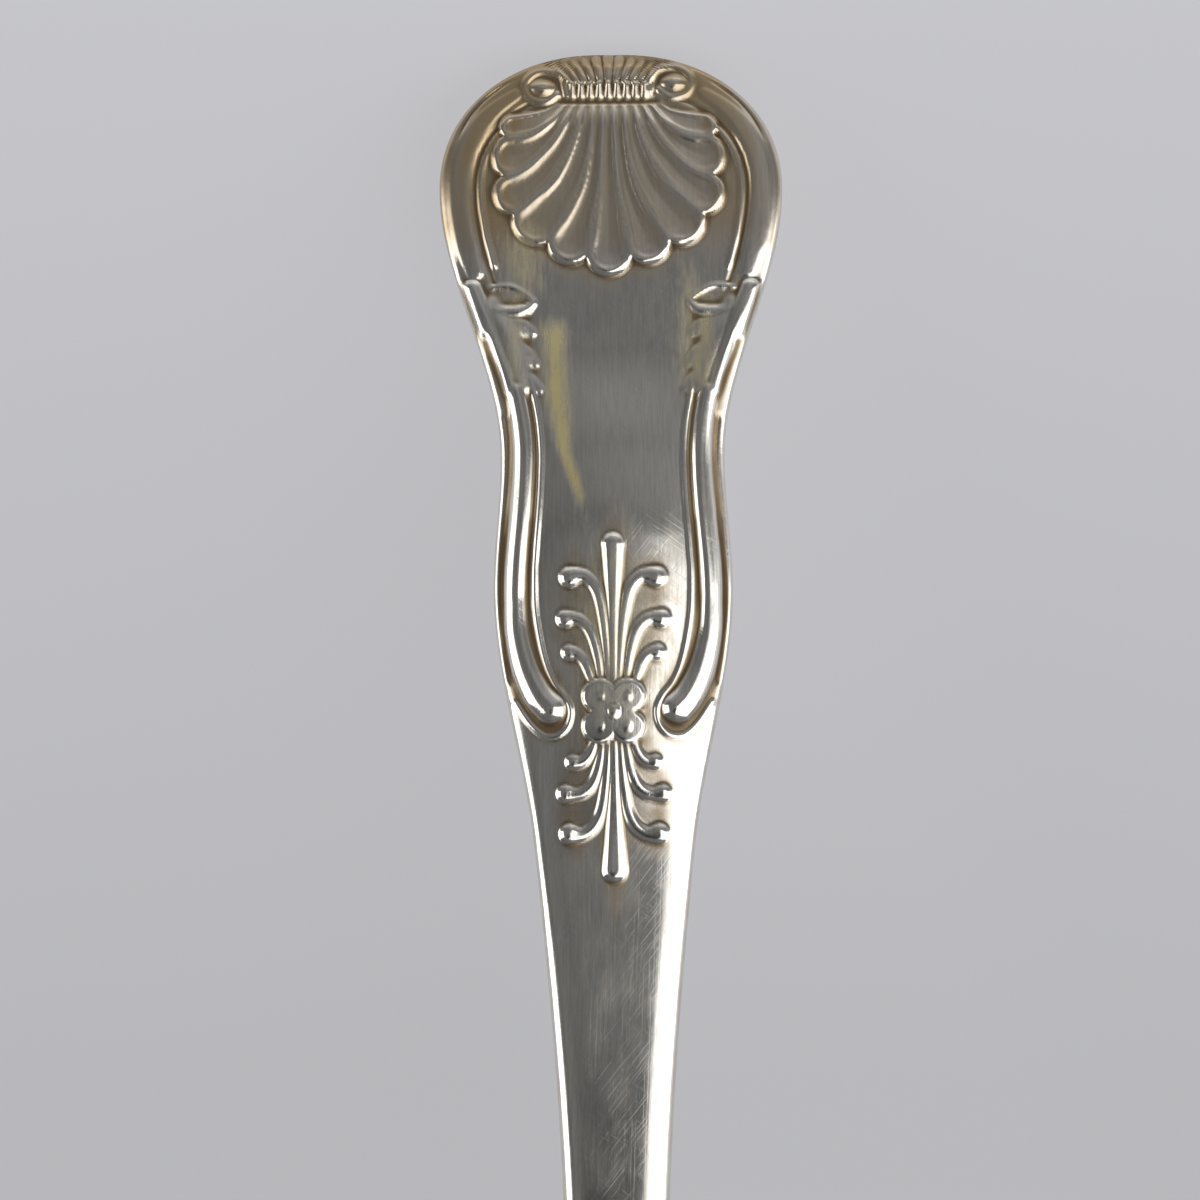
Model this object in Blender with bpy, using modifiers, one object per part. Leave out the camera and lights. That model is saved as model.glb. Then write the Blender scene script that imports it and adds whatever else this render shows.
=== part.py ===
"""A silver sauce ladle in a traditional shell, thread and honeysuckle pattern.

The handle is modelled flat, as it leaves the dies: a blank with its ornament joined on.
It is then bent to its side profile and cut back where it laps the bowl, a turned shell.
A fillet of solder runs round the lap. A flat position is (x, s): x across the handle
and s the distance from its tip. The whole ladle lies at rest, on its bowl and its tip.
"""

import math

import bmesh
import bpy
import numpy as np

MM = 0.001

# Plan of the flat handle: full widths, and how far from the tip they are.
HEAD_WIDTH = 21.2 * MM
HEAD_AT = 8.5 * MM
HEAD_FULLNESS = 2.15
WAIST_WIDTH = 13.85 * MM
WAIST_AT = 25.0 * MM
SWELL_WIDTH = 14.8 * MM
SWELL_AT = 33.2 * MM
TAPER_WIDTH = 9.95 * MM
TAPER_AT = 49.0 * MM
SHANK_WIDTH = 6.65 * MM
SHANK_AT = 70.5 * MM
STEM_WIDTH = 4.8 * MM
STEM_AT = 108.0 * MM
ROOT_WIDTH = 8.4 * MM
TONGUE_LENGTH = 13.0 * MM
TONGUE_FULLNESS = 2.2

# Thickness of the blank, without its ornament.
HEAD_THICK = 2.2 * MM
SWELL_THICK = 2.4 * MM
STEM_THICK = 3.3 * MM
ROOT_THICK = 2.9 * MM
TONGUE_TIP_THICK = 0.9 * MM
TIP_ROUNDING = 1.1 * MM
SECTION_FULLNESS = 4.0

# Side profile, from the tip to the bowl's rim: arcs that follow each other smoothly.
CURL_LENGTH = 15.0 * MM
CURL_TURN = math.radians(5)
SHANK_LENGTH = 58.0 * MM
SHANK_TURN = math.radians(7)
SHOULDER_LENGTH = 45.0 * MM
SHOULDER_TURN = math.radians(28)
NECK_LENGTH = 26.0 * MM
NECK_TURN = math.radians(64)

# Bowl: an oval cap, with a small flat worn under it.
BOWL_LENGTH = 54.0 * MM
BOWL_WIDTH = 57.0 * MM
BOWL_DEPTH = 20.0 * MM
BOWL_WALL = 1.2 * MM
FOOT_RADIUS = 4.5 * MM
LAP_GAP = 0.3 * MM
SOLDER_RADIUS = 0.4 * MM
SOLDER_SWEEP = math.radians(86)

# Edge mouldings: how far the middle of each bead is from the edge, and its radius.
FILLET_START = 0.55 * MM
FILLET_INSET = 0.28 * MM
FILLET_RADIUS = 0.24 * MM
UPPER_REED_INSET = 1.35 * MM
UPPER_REED_RADIUS = 0.78 * MM
LOWER_REED_INSET = 1.32 * MM
LOWER_REED_RADIUS = 0.66 * MM
THREAD_INSET = 2.5 * MM
THREAD_RADIUS = 0.2 * MM
CLUB_RADIUS = 0.95 * MM
CLUB_LEAN = 0.33 * MM
CLUB_AT = (3.95 * MM, 40.3 * MM)

# Scrolls at the top of the head.
VOLUTE_AT = (4.05 * MM, 2.2 * MM)
VOLUTE_RADIUS = 1.05 * MM
VOLUTE_WIRE = 0.26 * MM
VOLUTE_TURN = math.radians(400)
VOLUTE_TIGHTENING = 0.3
EYE_RADIUS = 0.72 * MM

# Shell: lobes that fan out from a hinge.
LOBES_A_SIDE = 5
SHELL_RADIUS = 6.8 * MM
SHELL_AT = 6.7 * MM
SHELL_FAN = math.radians(31)
SHELL_CROWDING = math.radians(1.9)
HINGE_WIDTH = 5.0 * MM
HINGE_AT = 3.2 * MM
LOBE_RADIUS = 1.5 * MM
LOBE_CROWDING = 0.11
LOBE_ROOT_RADIUS = 0.3 * MM
LOBE_RIM = 0.1 * MM
LOBE_START = 0.42
LOBE_CURL = 0.4
LOBE_HEIGHT = 0.55 * MM
TROUGH_DEPTH = 0.4 * MM

# Reeded roll over the tip, and the row of nubs below it.
RIBS = 11
RIB_SPREAD = 6.6 * MM
RIB_ROOT_SPREAD = 5.0 * MM
RIB_END = 2.1 * MM
RIB_RADIUS = 0.34 * MM
NUBS = 9
NUB_SPREAD = 4.6 * MM
NUB_AT = 2.6 * MM
NUB_RADIUS = 0.33 * MM

# Leaf clasp between the upper and the lower scroll.
CLASP_START = 14.9 * MM
CLASP_END = 21.2 * MM
LIP_INNER_X = 4.7 * MM
LIP_RADIUS = 0.72 * MM
LIP_TAPER = ((0.0, 1.0), (0.35, 1.0), (0.7, 0.8), (1.0, 0.25))
LIP_FLATNESS = 0.9
LEAF_INSET = 1.75 * MM
LEAF_RADIUS = 1.35 * MM
LEAF_END_RADIUS = 0.9 * MM
LEAF_FLATNESS = 0.42
BACK_INSET = 0.56 * MM
BACK_RADIUS = 0.48 * MM
LEAF_TEETH = 3
TOOTH_PLACE = 0.65
TOOTH_RADIUS = 0.62 * MM

# Honeysuckle: petal ends as (reach, rise) from the knot, and the knot's balls.
KNOT_AT = 40.6 * MM
KNOT_SPACING = 0.93 * MM
KNOT_RADIUS = 0.86 * MM
KNOT_EYE_RADIUS = 0.5 * MM
PETALS = ((2.75 * MM, 8.3 * MM), (3.05 * MM, 5.7 * MM), (2.85 * MM, 3.6 * MM))
PETAL_ROOT_SPACING = 0.42 * MM
PETAL_ROOT_RADIUS = 0.24 * MM
PETAL_STIFFNESS = 0.8
PETAL_CURL = 0.55
PETAL_END_RADIUS = 0.58 * MM
SPEAR_LENGTH = 11.0 * MM
SPEAR_RADIUS = 0.7 * MM
SPEAR_TAPER = ((0.1, 0.35), (0.45, 0.7), (0.75, 1.0), (0.93, 0.8))
LOWER_SCALE = 0.94

# How the ornament sits on the blank: most of it sunk a little, the knot's eye raised.
SINK = 0.12 * MM
THIN_SINK = 0.25
KNOT_EYE_LIFT = 0.25 * MM
BALL_FLATNESS = 0.8

# How finely the forms are divided.
SECTION_POINTS = 20
STATIONS = {"head": 11, "ornament": 21, "stem": 9, "neck": 17, "tongue": 12}
FIRST_STATION = math.radians(5)
LAST_STATION = math.radians(88)
EDGE_POINTS = 12
CURVE_POINTS = 8
VOLUTE_POINTS = 16
SOLDER_POINTS = 25
END_ANGLES = np.radians((35, 65, 84))
RIB_ANGLES = np.radians((70, 35, 0, -35, -70))
LIP_ANGLES = np.radians((45, 90, 135))
BALL_SEGMENTS = 8
BALL_RINGS = 6
CUTTER_RINGS = 48
BOWL_STEPS = 56
PROFILE_POINTS = 11
BEAD_ROUNDNESS = 1

# Colour and roughness of each piece.
STRUCK_SILVER = ((0.80, 0.78, 0.74, 1.0), 0.16)
RAISED_SILVER = ((0.81, 0.79, 0.75, 1.0), 0.12)
HARD_SOLDER = ((0.74, 0.72, 0.66, 1.0), 0.3)
SHARP_ANGLE = math.radians(40)

# What follows from the sizes above.
RIM_AT = CURL_LENGTH + SHANK_LENGTH + SHOULDER_LENGTH + NECK_LENGTH
HANDLE_LENGTH = RIM_AT + TONGUE_LENGTH
BOWL_RADIUS = (BOWL_LENGTH ** 2 / 4 + BOWL_DEPTH ** 2) / (2 * BOWL_DEPTH)
BOWL_OVAL = BOWL_WIDTH / BOWL_LENGTH
RIM_HEIGHT = BOWL_DEPTH - BOWL_RADIUS
RIM_ANGLE = math.acos(-RIM_HEIGHT / BOWL_RADIUS)
LINE_RADIUS = BOWL_RADIUS - BOWL_WALL + ROOT_THICK / 2
WIDTHS = (
    (HEAD_AT, HEAD_WIDTH),
    (WAIST_AT, WAIST_WIDTH),
    (SWELL_AT, SWELL_WIDTH),
    (TAPER_AT, TAPER_WIDTH),
    (SHANK_AT, SHANK_WIDTH),
    (STEM_AT, STEM_WIDTH),
    (RIM_AT, ROOT_WIDTH),
)
THICKNESSES = (
    (0.0, HEAD_THICK),
    (SWELL_AT, SWELL_THICK),
    (STEM_AT, STEM_THICK),
    (RIM_AT, ROOT_THICK),
    (HANDLE_LENGTH, TONGUE_TIP_THICK),
)
ARCS = (
    (CURL_LENGTH, -CURL_TURN),
    (SHANK_LENGTH, -SHANK_TURN),
    (SHOULDER_LENGTH, -SHOULDER_TURN),
    (NECK_LENGTH, -NECK_TURN),
    (TONGUE_LENGTH, TONGUE_LENGTH / LINE_RADIUS),
)


def smooth_through(stations, at):
    """A curve through (place, value) stations that doesn't overshoot between them."""
    places, values = np.array(stations).T
    steps = np.diff(places)
    slopes = np.diff(values) / steps
    tangents = np.zeros(len(places))
    for i in range(1, len(places) - 1):
        before, after = slopes[i - 1], slopes[i]
        if before * after > 0:
            tangents[i] = 2 * before * after / (before + after)
    i = int(np.clip(np.searchsorted(places, at) - 1, 0, len(steps) - 1))
    t = min(max((at - places[i]) / steps[i], 0.0), 1.0)
    start = values[i] * (2 * t + 1) + tangents[i] * steps[i] * t
    end = values[i + 1] * (3 - 2 * t) - tangents[i + 1] * steps[i] * (1 - t)
    return start * (1 - t) ** 2 + end * t ** 2


def arch(share, fullness):
    """Height of a rounded arch at a share of its run: 1 at 0 and 0 at 1."""
    return max(1 - min(abs(share), 1.0) ** fullness, 0.0) ** (1 / fullness)


def half_width(s):
    if s < HEAD_AT:
        return HEAD_WIDTH / 2 * arch(1 - s / HEAD_AT, HEAD_FULLNESS)
    if s > RIM_AT:
        return ROOT_WIDTH / 2 * arch((s - RIM_AT) / TONGUE_LENGTH, TONGUE_FULLNESS)
    return smooth_through(WIDTHS, s) / 2


def half_thickness(s):
    tip = arch(1 - s / TIP_ROUNDING, 2) if s < TIP_ROUNDING else 1.0
    return tip * smooth_through(THICKNESSES, s) / 2


def front_height(x, s):
    """Height of the blank's front face above its middle plane."""
    s = min(max(s, 0.0), HANDLE_LENGTH)
    width = max(half_width(s), FILLET_RADIUS)
    return half_thickness(s) * arch(x / width, SECTION_FULLNESS)


def line_at(s):
    """Where the handle's middle line is, as (y, z, slope), from the bowl's centre."""
    slope = CURL_TURN + SHANK_TURN + SHOULDER_TURN + NECK_TURN - RIM_ANGLE
    y = z = reached = 0.0
    found = None
    for length, turn in ARCS:
        bend = turn / length
        run = min(max(s - reached, 0.0), length)
        if found is None and s <= reached + length:
            found = (*arc_end(y, z, slope, bend, run), slope + bend * run)
        y, z = arc_end(y, z, slope, bend, length)
        slope += turn
        reached += length
        if math.isclose(reached, RIM_AT):
            rim_y, rim_z = y, z
    y, z, slope = found or (y, z, slope)
    y += LINE_RADIUS * math.sin(RIM_ANGLE) - rim_y
    z += -LINE_RADIUS * math.cos(RIM_ANGLE) - rim_z
    return y, z, slope


def arc_end(y, z, slope, bend, run):
    """The end of an arc that leaves (y, z) towards the bowl at a slope."""
    end = slope + bend * run
    return y - (math.sin(end) - math.sin(slope)) / bend, z + (math.cos(slope) - math.cos(end)) / bend


def bent(x, s, height):
    """A point of the flat handle, after bending."""
    y, z, slope = line_at(min(max(s, 0.0), HANDLE_LENGTH))
    return x, y + height * math.sin(slope), z + height * math.cos(slope)


def clear_scene():
    for obj in list(bpy.data.objects):
        bpy.data.objects.remove(obj)


def new_collection(name):
    collection = bpy.data.collections.new(name)
    bpy.context.scene.collection.children.link(collection)
    return collection


def new_object(name, mesh, collection):
    obj = bpy.data.objects.new(name, mesh)
    collection.objects.link(obj)
    return obj


def metal(name, colour, roughness):
    material = bpy.data.materials.new(name)
    material.use_nodes = True
    shader = material.node_tree.nodes["Principled BSDF"]
    shader.inputs["Base Color"].default_value = colour
    shader.inputs["Metallic"].default_value = 1.0
    shader.inputs["Roughness"].default_value = roughness
    return material


def mesh_from(bm, name):
    mesh = bpy.data.meshes.new(name)
    bm.to_mesh(mesh)
    bm.free()
    return mesh


def baked(obj):
    """The object's mesh with its modifiers applied."""
    graph = bpy.context.evaluated_depsgraph_get()
    return bpy.data.meshes.new_from_object(obj.evaluated_get(graph))


def join(obj, collection, operation):
    """Joins or cuts with every object of a collection. The exact solver leaves open edges here."""
    boolean = obj.modifiers.new(collection.name, "BOOLEAN")
    boolean.operation = operation
    boolean.solver = "MANIFOLD"
    boolean.operand_type = "COLLECTION"
    boolean.collection = collection


def cut(obj, cutter):
    boolean = obj.modifiers.new(cutter.name, "BOOLEAN")
    boolean.operation = "DIFFERENCE"
    boolean.solver = "EXACT"
    boolean.object = cutter


def hide(collection):
    collection.hide_render = True
    for obj in collection.objects:
        obj.hide_render = True
        obj.display_type = "WIRE"


def tube(name, points, radii):
    """A mesh tube through 3-D points, with a radius at each."""
    curve = bpy.data.curves.new(name, "CURVE")
    curve.dimensions = "3D"
    curve.twist_mode = "Z_UP"
    curve.bevel_depth = MM
    curve.bevel_resolution = BEAD_ROUNDNESS
    curve.use_fill_caps = True
    spline = curve.splines.new("POLY")
    spline.points.add(len(points) - 1)
    for point, place, radius in zip(spline.points, points, radii):
        point.co = (*place, 1.0)
        point.radius = radius / MM
    guide = new_object(name, curve, bpy.context.scene.collection)
    mesh = baked(guide)
    bpy.data.objects.remove(guide)
    bm = bmesh.new()
    bm.from_mesh(mesh)
    bmesh.ops.remove_doubles(bm, verts=bm.verts, dist=MM / 1000)
    bmesh.ops.recalc_face_normals(bm, faces=bm.faces)
    bm.to_mesh(mesh)
    bm.free()
    return mesh


def draped(mesh, flatness, lift):
    """Flattens a plan shape and lays it on the blank's front face."""
    for vertex in mesh.vertices:
        x, y, z = vertex.co
        vertex.co.z = z * flatness + front_height(x, -y) + lift
    return mesh


def rounded_ends(points, radii, at_start, at_end):
    """Adds a half-ball to the ends of a plan path."""
    points = [np.array(point) for point in points]
    radii = list(radii)
    for wanted, last, before, place in ((at_start, 0, 1, 0), (at_end, -1, -2, None)):
        if not wanted:
            continue
        end, radius = points[last], radii[last]
        outwards = (end - points[before]) / np.linalg.norm(end - points[before])
        for angle in END_ANGLES:
            index = len(points) if place is None else place
            points.insert(index, end + outwards * radius * math.sin(angle))
            radii.insert(index, radius * math.cos(angle))
    return points, radii


def bead(collection, points, radii, flatness=1.0, lift=-SINK, ends=(True, True)):
    """A rounded strip along plan points (x, s), laid on the blank."""
    points, radii = rounded_ends(points, radii, *ends)
    mesh = tube("bead", [(x, -s, 0.0) for x, s in points], radii)
    return new_object("bead", draped(mesh, flatness, lift), collection)


def ball(collection, x, s, radius, flatness=BALL_FLATNESS, lift=-SINK):
    """A flattened ball, laid on the blank."""
    bm = bmesh.new()
    bmesh.ops.create_uvsphere(bm, u_segments=BALL_SEGMENTS, v_segments=BALL_RINGS, radius=radius)
    bmesh.ops.translate(bm, verts=bm.verts, vec=(x, -s, 0.0))
    return new_object("ball", draped(mesh_from(bm, "ball"), flatness, lift), collection)


def bezier(a, b, c, d, count):
    a, b, c, d = (np.array(point) for point in (a, b, c, d))
    for t in np.linspace(0, 1, count):
        yield a * (1 - t) ** 3 + b * 3 * t * (1 - t) ** 2 + c * 3 * t * t * (1 - t) + d * t ** 3


def inside_edge(side, s, inset):
    """The plan point that lies square to the outline at s, an inset away from it."""
    step = MM / 100
    slope = (half_width(s + step) - half_width(s)) / step
    long = math.hypot(1, slope)
    return np.array((side * (half_width(s) - inset / long), s + inset * slope / long))


def edge_bead(collection, side, start, end, inset, radius, count):
    path = [inside_edge(side, s, inset) for s in np.linspace(start, end, count)]
    bead(collection, path, [radius] * count, lift=-min(SINK, radius * THIN_SINK))


def blank_stations():
    """Distances from the tip of the blank's sections, closer together where it turns in."""
    head = HEAD_AT * (1 - np.cos(np.linspace(FIRST_STATION, LAST_STATION, STATIONS["head"])))
    ornament = np.linspace(HEAD_AT, SHANK_AT, STATIONS["ornament"])
    stem = np.linspace(SHANK_AT, STEM_AT, STATIONS["stem"])[1:]
    neck = np.linspace(STEM_AT, RIM_AT, STATIONS["neck"])[1:]
    tongue = RIM_AT + TONGUE_LENGTH * np.sin(np.linspace(0, LAST_STATION, STATIONS["tongue"])[1:])
    return np.concatenate((head, ornament, stem, neck, tongue))


def blank():
    """The plain handle: a sheet rolled into a tube, with a rounded section at each station."""
    stations = blank_stations()
    bm = bmesh.new()
    bmesh.ops.create_grid(bm, x_segments=SECTION_POINTS, y_segments=len(stations) - 1, size=0.5)
    for vertex in bm.verts:
        angle = (vertex.co.x + 0.5) * 2 * math.pi
        s = stations[round((vertex.co.y + 0.5) * (len(stations) - 1))]
        across, up = math.cos(angle), math.sin(angle)
        power = 2 / SECTION_FULLNESS
        x = math.copysign(abs(across) ** power, across) * half_width(s)
        z = math.copysign(abs(up) ** power, up) * half_thickness(s)
        vertex.co = (x, -s, z)
    bmesh.ops.remove_doubles(bm, verts=bm.verts, dist=MM / 1000)
    bmesh.ops.holes_fill(bm, edges=bm.edges)
    bmesh.ops.recalc_face_normals(bm, faces=bm.faces)
    return mesh_from(bm, "blank")


def mouldings(collection, side):
    """Fillet, reeds and threads that follow the edge, above and below the leaf clasp."""
    start, end = VOLUTE_AT[1] - VOLUTE_RADIUS / 2, CLASP_START - LIP_RADIUS
    edge_bead(collection, side, FILLET_START, CLASP_START, FILLET_INSET, FILLET_RADIUS, EDGE_POINTS)
    edge_bead(collection, side, CLASP_END, CLUB_AT[1], FILLET_INSET, FILLET_RADIUS, CURVE_POINTS)
    edge_bead(collection, side, start, end, UPPER_REED_INSET, UPPER_REED_RADIUS, EDGE_POINTS)
    edge_bead(collection, side, VOLUTE_AT[1], end, THREAD_INSET, THREAD_RADIUS, EDGE_POINTS)
    lower_reed(collection, side)


def lower_reed(collection, side):
    """The reed below the clasp, which swells and turns in to a club, and its thread."""
    stations = np.linspace(CLASP_END, SWELL_AT, CURVE_POINTS)
    path = [inside_edge(side, s, LOWER_REED_INSET) for s in stations]
    club = np.array((side * CLUB_AT[0], CLUB_AT[1]))
    start, reach = path[-1], (CLUB_AT[1] - SWELL_AT) / 2
    path += list(bezier(start, start + (0, reach), club - (side * CLUB_LEAN, reach), club, CURVE_POINTS))[1:]
    swelling = np.linspace(LOWER_REED_RADIUS, CLUB_RADIUS, CURVE_POINTS)
    bead(collection, path, [LOWER_REED_RADIUS] * CURVE_POINTS + list(swelling[1:]))
    thread = [inside_edge(side, s, THREAD_INSET) for s in stations]
    start = thread[-1]
    end = club + (-side * (CLUB_RADIUS + THREAD_RADIUS), CLUB_RADIUS / 2)
    thread += list(bezier(start, start + (0, reach), end - (0, reach / 2), end, CURVE_POINTS))[1:]
    bead(collection, thread, [THREAD_RADIUS] * len(thread), lift=-THREAD_RADIUS * THIN_SINK)


def volute(collection, side):
    """A scroll that winds in round its eye."""
    path = []
    for turned in np.linspace(0, VOLUTE_TURN, VOLUTE_POINTS):
        radius = VOLUTE_RADIUS * (1 - VOLUTE_TIGHTENING * turned / VOLUTE_TURN)
        path.append(
            (
                side * (VOLUTE_AT[0] + radius * math.cos(turned)),
                VOLUTE_AT[1] - radius * math.sin(turned),
            )
        )
    bead(collection, path, [VOLUTE_WIRE] * VOLUTE_POINTS, lift=0.0)
    ball(collection, side * VOLUTE_AT[0], VOLUTE_AT[1], EYE_RADIUS)


def lobe_path(k):
    """Plan points of a shell lobe from the hinge out, and its radius at each."""
    angle = math.copysign(SHELL_FAN * abs(k) - SHELL_CROWDING * k * k, k)
    outwards = np.array((math.sin(angle), math.cos(angle)))
    radius = LOBE_RADIUS * (1 - LOBE_CROWDING * abs(k))
    root = np.array((HINGE_WIDTH / 2 * k / LOBES_A_SIDE, HINGE_AT))
    end = np.array((0.0, SHELL_AT)) + outwards * (SHELL_RADIUS - radius)
    long = np.linalg.norm(end - root)
    down = np.array((math.sin(angle) / 3, 1.0))
    leave = root + down * long * LOBE_START
    arrive = end - outwards * long * LOBE_CURL
    path = list(bezier(root, leave, arrive, end, CURVE_POINTS))
    return path, np.linspace(LOBE_ROOT_RADIUS, radius, CURVE_POINTS)


def shell(ornament):
    """Lobes joined into one fan, with a trough down each."""
    lobes = new_collection("shell_lobes")
    troughs = new_collection("shell_troughs")
    fan = None
    for k in range(-LOBES_A_SIDE, LOBES_A_SIDE + 1):
        path, radii = lobe_path(k)
        home = lobes if fan else ornament
        wide = [radius + LOBE_RIM for radius in radii]
        made = bead(home, path, wide, LOBE_HEIGHT / LOBE_RADIUS, 0.0, (False, True))
        fan = fan or made
        hollow = [radius - LOBE_RIM for radius in radii]
        bead(troughs, path, hollow, TROUGH_DEPTH / LOBE_RADIUS, LOBE_HEIGHT, (False, True))
    join(fan, lobes, "UNION")
    join(fan, troughs, "DIFFERENCE")
    fan.data = baked(fan)
    fan.modifiers.clear()
    for helper in (lobes, troughs):
        hide(helper)


def collar(collection):
    """Ribs that roll over the tip from front to back, and the nubs under them."""
    for share in np.linspace(-0.5, 0.5, RIBS):
        x = share * RIB_SPREAD
        root_x = share * RIB_ROOT_SPREAD
        edge = HEAD_AT * (1 - arch(x / (HEAD_WIDTH / 2), HEAD_FULLNESS))
        thick = HEAD_THICK / 2 - RIB_RADIUS / 2
        points = [(root_x, -RIB_END, thick)]
        for angle in RIB_ANGLES:
            back = edge + RIB_RADIUS / 2 + thick * (1 - math.cos(angle))
            points.append((x, -back, thick * math.sin(angle)))
        points.append((root_x, -RIB_END, -thick))
        mesh = tube("rib", points, [RIB_RADIUS] * len(points))
        new_object("rib", mesh, collection)
    for share in np.linspace(-0.5, 0.5, NUBS):
        ball(collection, share * NUB_SPREAD, NUB_AT, NUB_RADIUS, 1.0)


def clasp(collection, side):
    """A leaf that wraps the edge between the scrolls, with a turned-over lip and toothed side."""
    lip_start = inside_edge(side, CLASP_START, LIP_RADIUS)
    lip_end = np.array((side * LIP_INNER_X, CLASP_START + LIP_RADIUS / 2))
    lip = [lip_start + (lip_end - lip_start) * share for share, _ in LIP_TAPER]
    bead(collection, lip, [LIP_RADIUS * taper for _, taper in LIP_TAPER], LIP_FLATNESS)
    leaf = [inside_edge(side, s, LEAF_INSET) for s in np.linspace(CLASP_START, CLASP_END, CURVE_POINTS)]
    bead(collection, leaf, np.linspace(LEAF_RADIUS, LEAF_END_RADIUS, CURVE_POINTS), LEAF_FLATNESS, 0.0)
    start, end = CLASP_START - LIP_RADIUS, CLASP_END + LIP_RADIUS
    edge_bead(collection, side, start, end, BACK_INSET, BACK_RADIUS, CURVE_POINTS)
    for share in (np.arange(LEAF_TEETH) + TOOTH_PLACE) / LEAF_TEETH:
        s = CLASP_START + (CLASP_END - CLASP_START) * share
        radius = LEAF_RADIUS + (LEAF_END_RADIUS - LEAF_RADIUS) * share
        x, s = inside_edge(side, s, LEAF_INSET + radius - TOOTH_RADIUS / 3)
        ball(collection, x, s, TOOTH_RADIUS)


def honeysuckle(collection):
    """Petals that spring up and down from a knot of balls, and curl outwards."""
    for way, scale in ((-1, 1.0), (1, LOWER_SCALE)):
        spear = [(0.0, KNOT_AT + way * SPEAR_LENGTH * scale * share) for share, _ in SPEAR_TAPER]
        bead(collection, spear, [SPEAR_RADIUS * taper for _, taper in SPEAR_TAPER])
        for side in (-1, 1):
            for order, (reach, rise) in enumerate(PETALS):
                petal(collection, side, way, order, reach, rise * scale)
    for x in (-KNOT_SPACING, KNOT_SPACING):
        for s in (-KNOT_SPACING, KNOT_SPACING):
            ball(collection, x, KNOT_AT + s, KNOT_RADIUS)
    ball(collection, 0.0, KNOT_AT, KNOT_EYE_RADIUS, 1.0, KNOT_EYE_LIFT)


def petal(collection, side, way, order, reach, rise):
    """One petal: it leaves the knot upright and turns over to a club."""
    root_x = side * PETAL_ROOT_SPACING * (order + 1)
    root = np.array((root_x, KNOT_AT + way * KNOT_SPACING))
    end = np.array((side * reach, KNOT_AT + way * rise))
    up = np.array((0.0, way * (rise - KNOT_SPACING)))
    out = np.array((side * reach * PETAL_CURL, -way * PETAL_END_RADIUS))
    path = list(bezier(root, root + up * PETAL_STIFFNESS, end - out, end, CURVE_POINTS))
    bead(collection, path, np.linspace(PETAL_ROOT_RADIUS, PETAL_END_RADIUS, CURVE_POINTS))


def make_handle(parts, rest):
    ornament = new_collection("ornament")
    collar(ornament)
    for side in (-1, 1):
        mouldings(ornament, side)
        volute(ornament, side)
        clasp(ornament, side)
    shell(ornament)
    honeysuckle(ornament)
    handle = new_object("handle", blank(), parts)
    join(handle, ornament, "UNION")
    handle.data = baked(handle)
    handle.modifiers.clear()
    hide(ornament)
    for vertex in handle.data.vertices:
        x, y, height = vertex.co
        vertex.co = bent(x, -y, height)
    handle.parent = rest
    return handle


def make_bowl(parts, rest):
    """The bowl: a turned profile, up its inside, over a round lip and down its outside."""
    inner = BOWL_RADIUS - BOWL_WALL
    lip = BOWL_WALL / 2
    middle = BOWL_RADIUS - lip
    rim = math.acos(-(RIM_HEIGHT - lip) / middle)
    profile = [(inner * math.sin(a), -inner * math.cos(a)) for a in np.linspace(0, rim, PROFILE_POINTS)]
    for turn in LIP_ANGLES:
        centre = (middle * math.sin(rim), -middle * math.cos(rim))
        profile.append(
            (
                centre[0] - lip * math.cos(turn) * math.sin(rim) + lip * math.sin(turn) * math.cos(rim),
                centre[1] + lip * math.cos(turn) * math.cos(rim) + lip * math.sin(turn) * math.sin(rim),
            )
        )
    profile += [
        (BOWL_RADIUS * math.sin(a), -BOWL_RADIUS * math.cos(a)) for a in np.linspace(rim, 0, PROFILE_POINTS)
    ]
    bm = bmesh.new()
    points = [bm.verts.new((x, 0.0, z)) for x, z in profile]
    for pair in zip(points, points[1:]):
        bm.edges.new(pair)
    bowl = new_object("bowl", mesh_from(bm, "bowl"), parts)
    screw = bowl.modifiers.new("turned", "SCREW")
    screw.steps = BOWL_STEPS
    screw.render_steps = BOWL_STEPS
    screw.use_merge_vertices = True
    screw.merge_threshold = MM / 100
    bowl.data = baked(bowl)
    bowl.modifiers.clear()
    for vertex in bowl.data.vertices:
        vertex.co.x *= BOWL_OVAL
    bowl.parent = rest
    return bowl


def bowl_cutter(cutters, rest):
    """The bowl's outside as a solid, larger by the gap, up to just above its rim."""
    bm = bmesh.new()
    radius = BOWL_RADIUS + LAP_GAP
    bmesh.ops.create_uvsphere(bm, u_segments=BOWL_STEPS, v_segments=CUTTER_RINGS, radius=radius)
    cutting = bmesh.ops.bisect_plane(
        bm,
        geom=bm.verts[:] + bm.edges[:] + bm.faces[:],
        plane_co=(0, 0, RIM_HEIGHT + LAP_GAP),
        plane_no=(0, 0, 1),
        clear_outer=True,
    )
    bmesh.ops.edgeloop_fill(bm, edges=[e for e in cutting["geom_cut"] if isinstance(e, bmesh.types.BMEdge)])
    bmesh.ops.scale(bm, verts=bm.verts, vec=(BOWL_OVAL, 1, 1))
    bmesh.ops.recalc_face_normals(bm, faces=bm.faces)
    cutter = new_object("bowl_clearance", mesh_from(bm, "bowl_clearance"), cutters)
    cutter.parent = rest
    return cutter


def table_cutter(cutters):
    """A block under the table's surface, which takes the worn flat off the bowl."""
    bm = bmesh.new()
    bmesh.ops.create_cube(bm, size=BOWL_LENGTH)
    bmesh.ops.translate(bm, verts=bm.verts, vec=(0, 0, -BOWL_LENGTH / 2))
    return new_object("table_level", mesh_from(bm, "table_level"), cutters)


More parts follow.
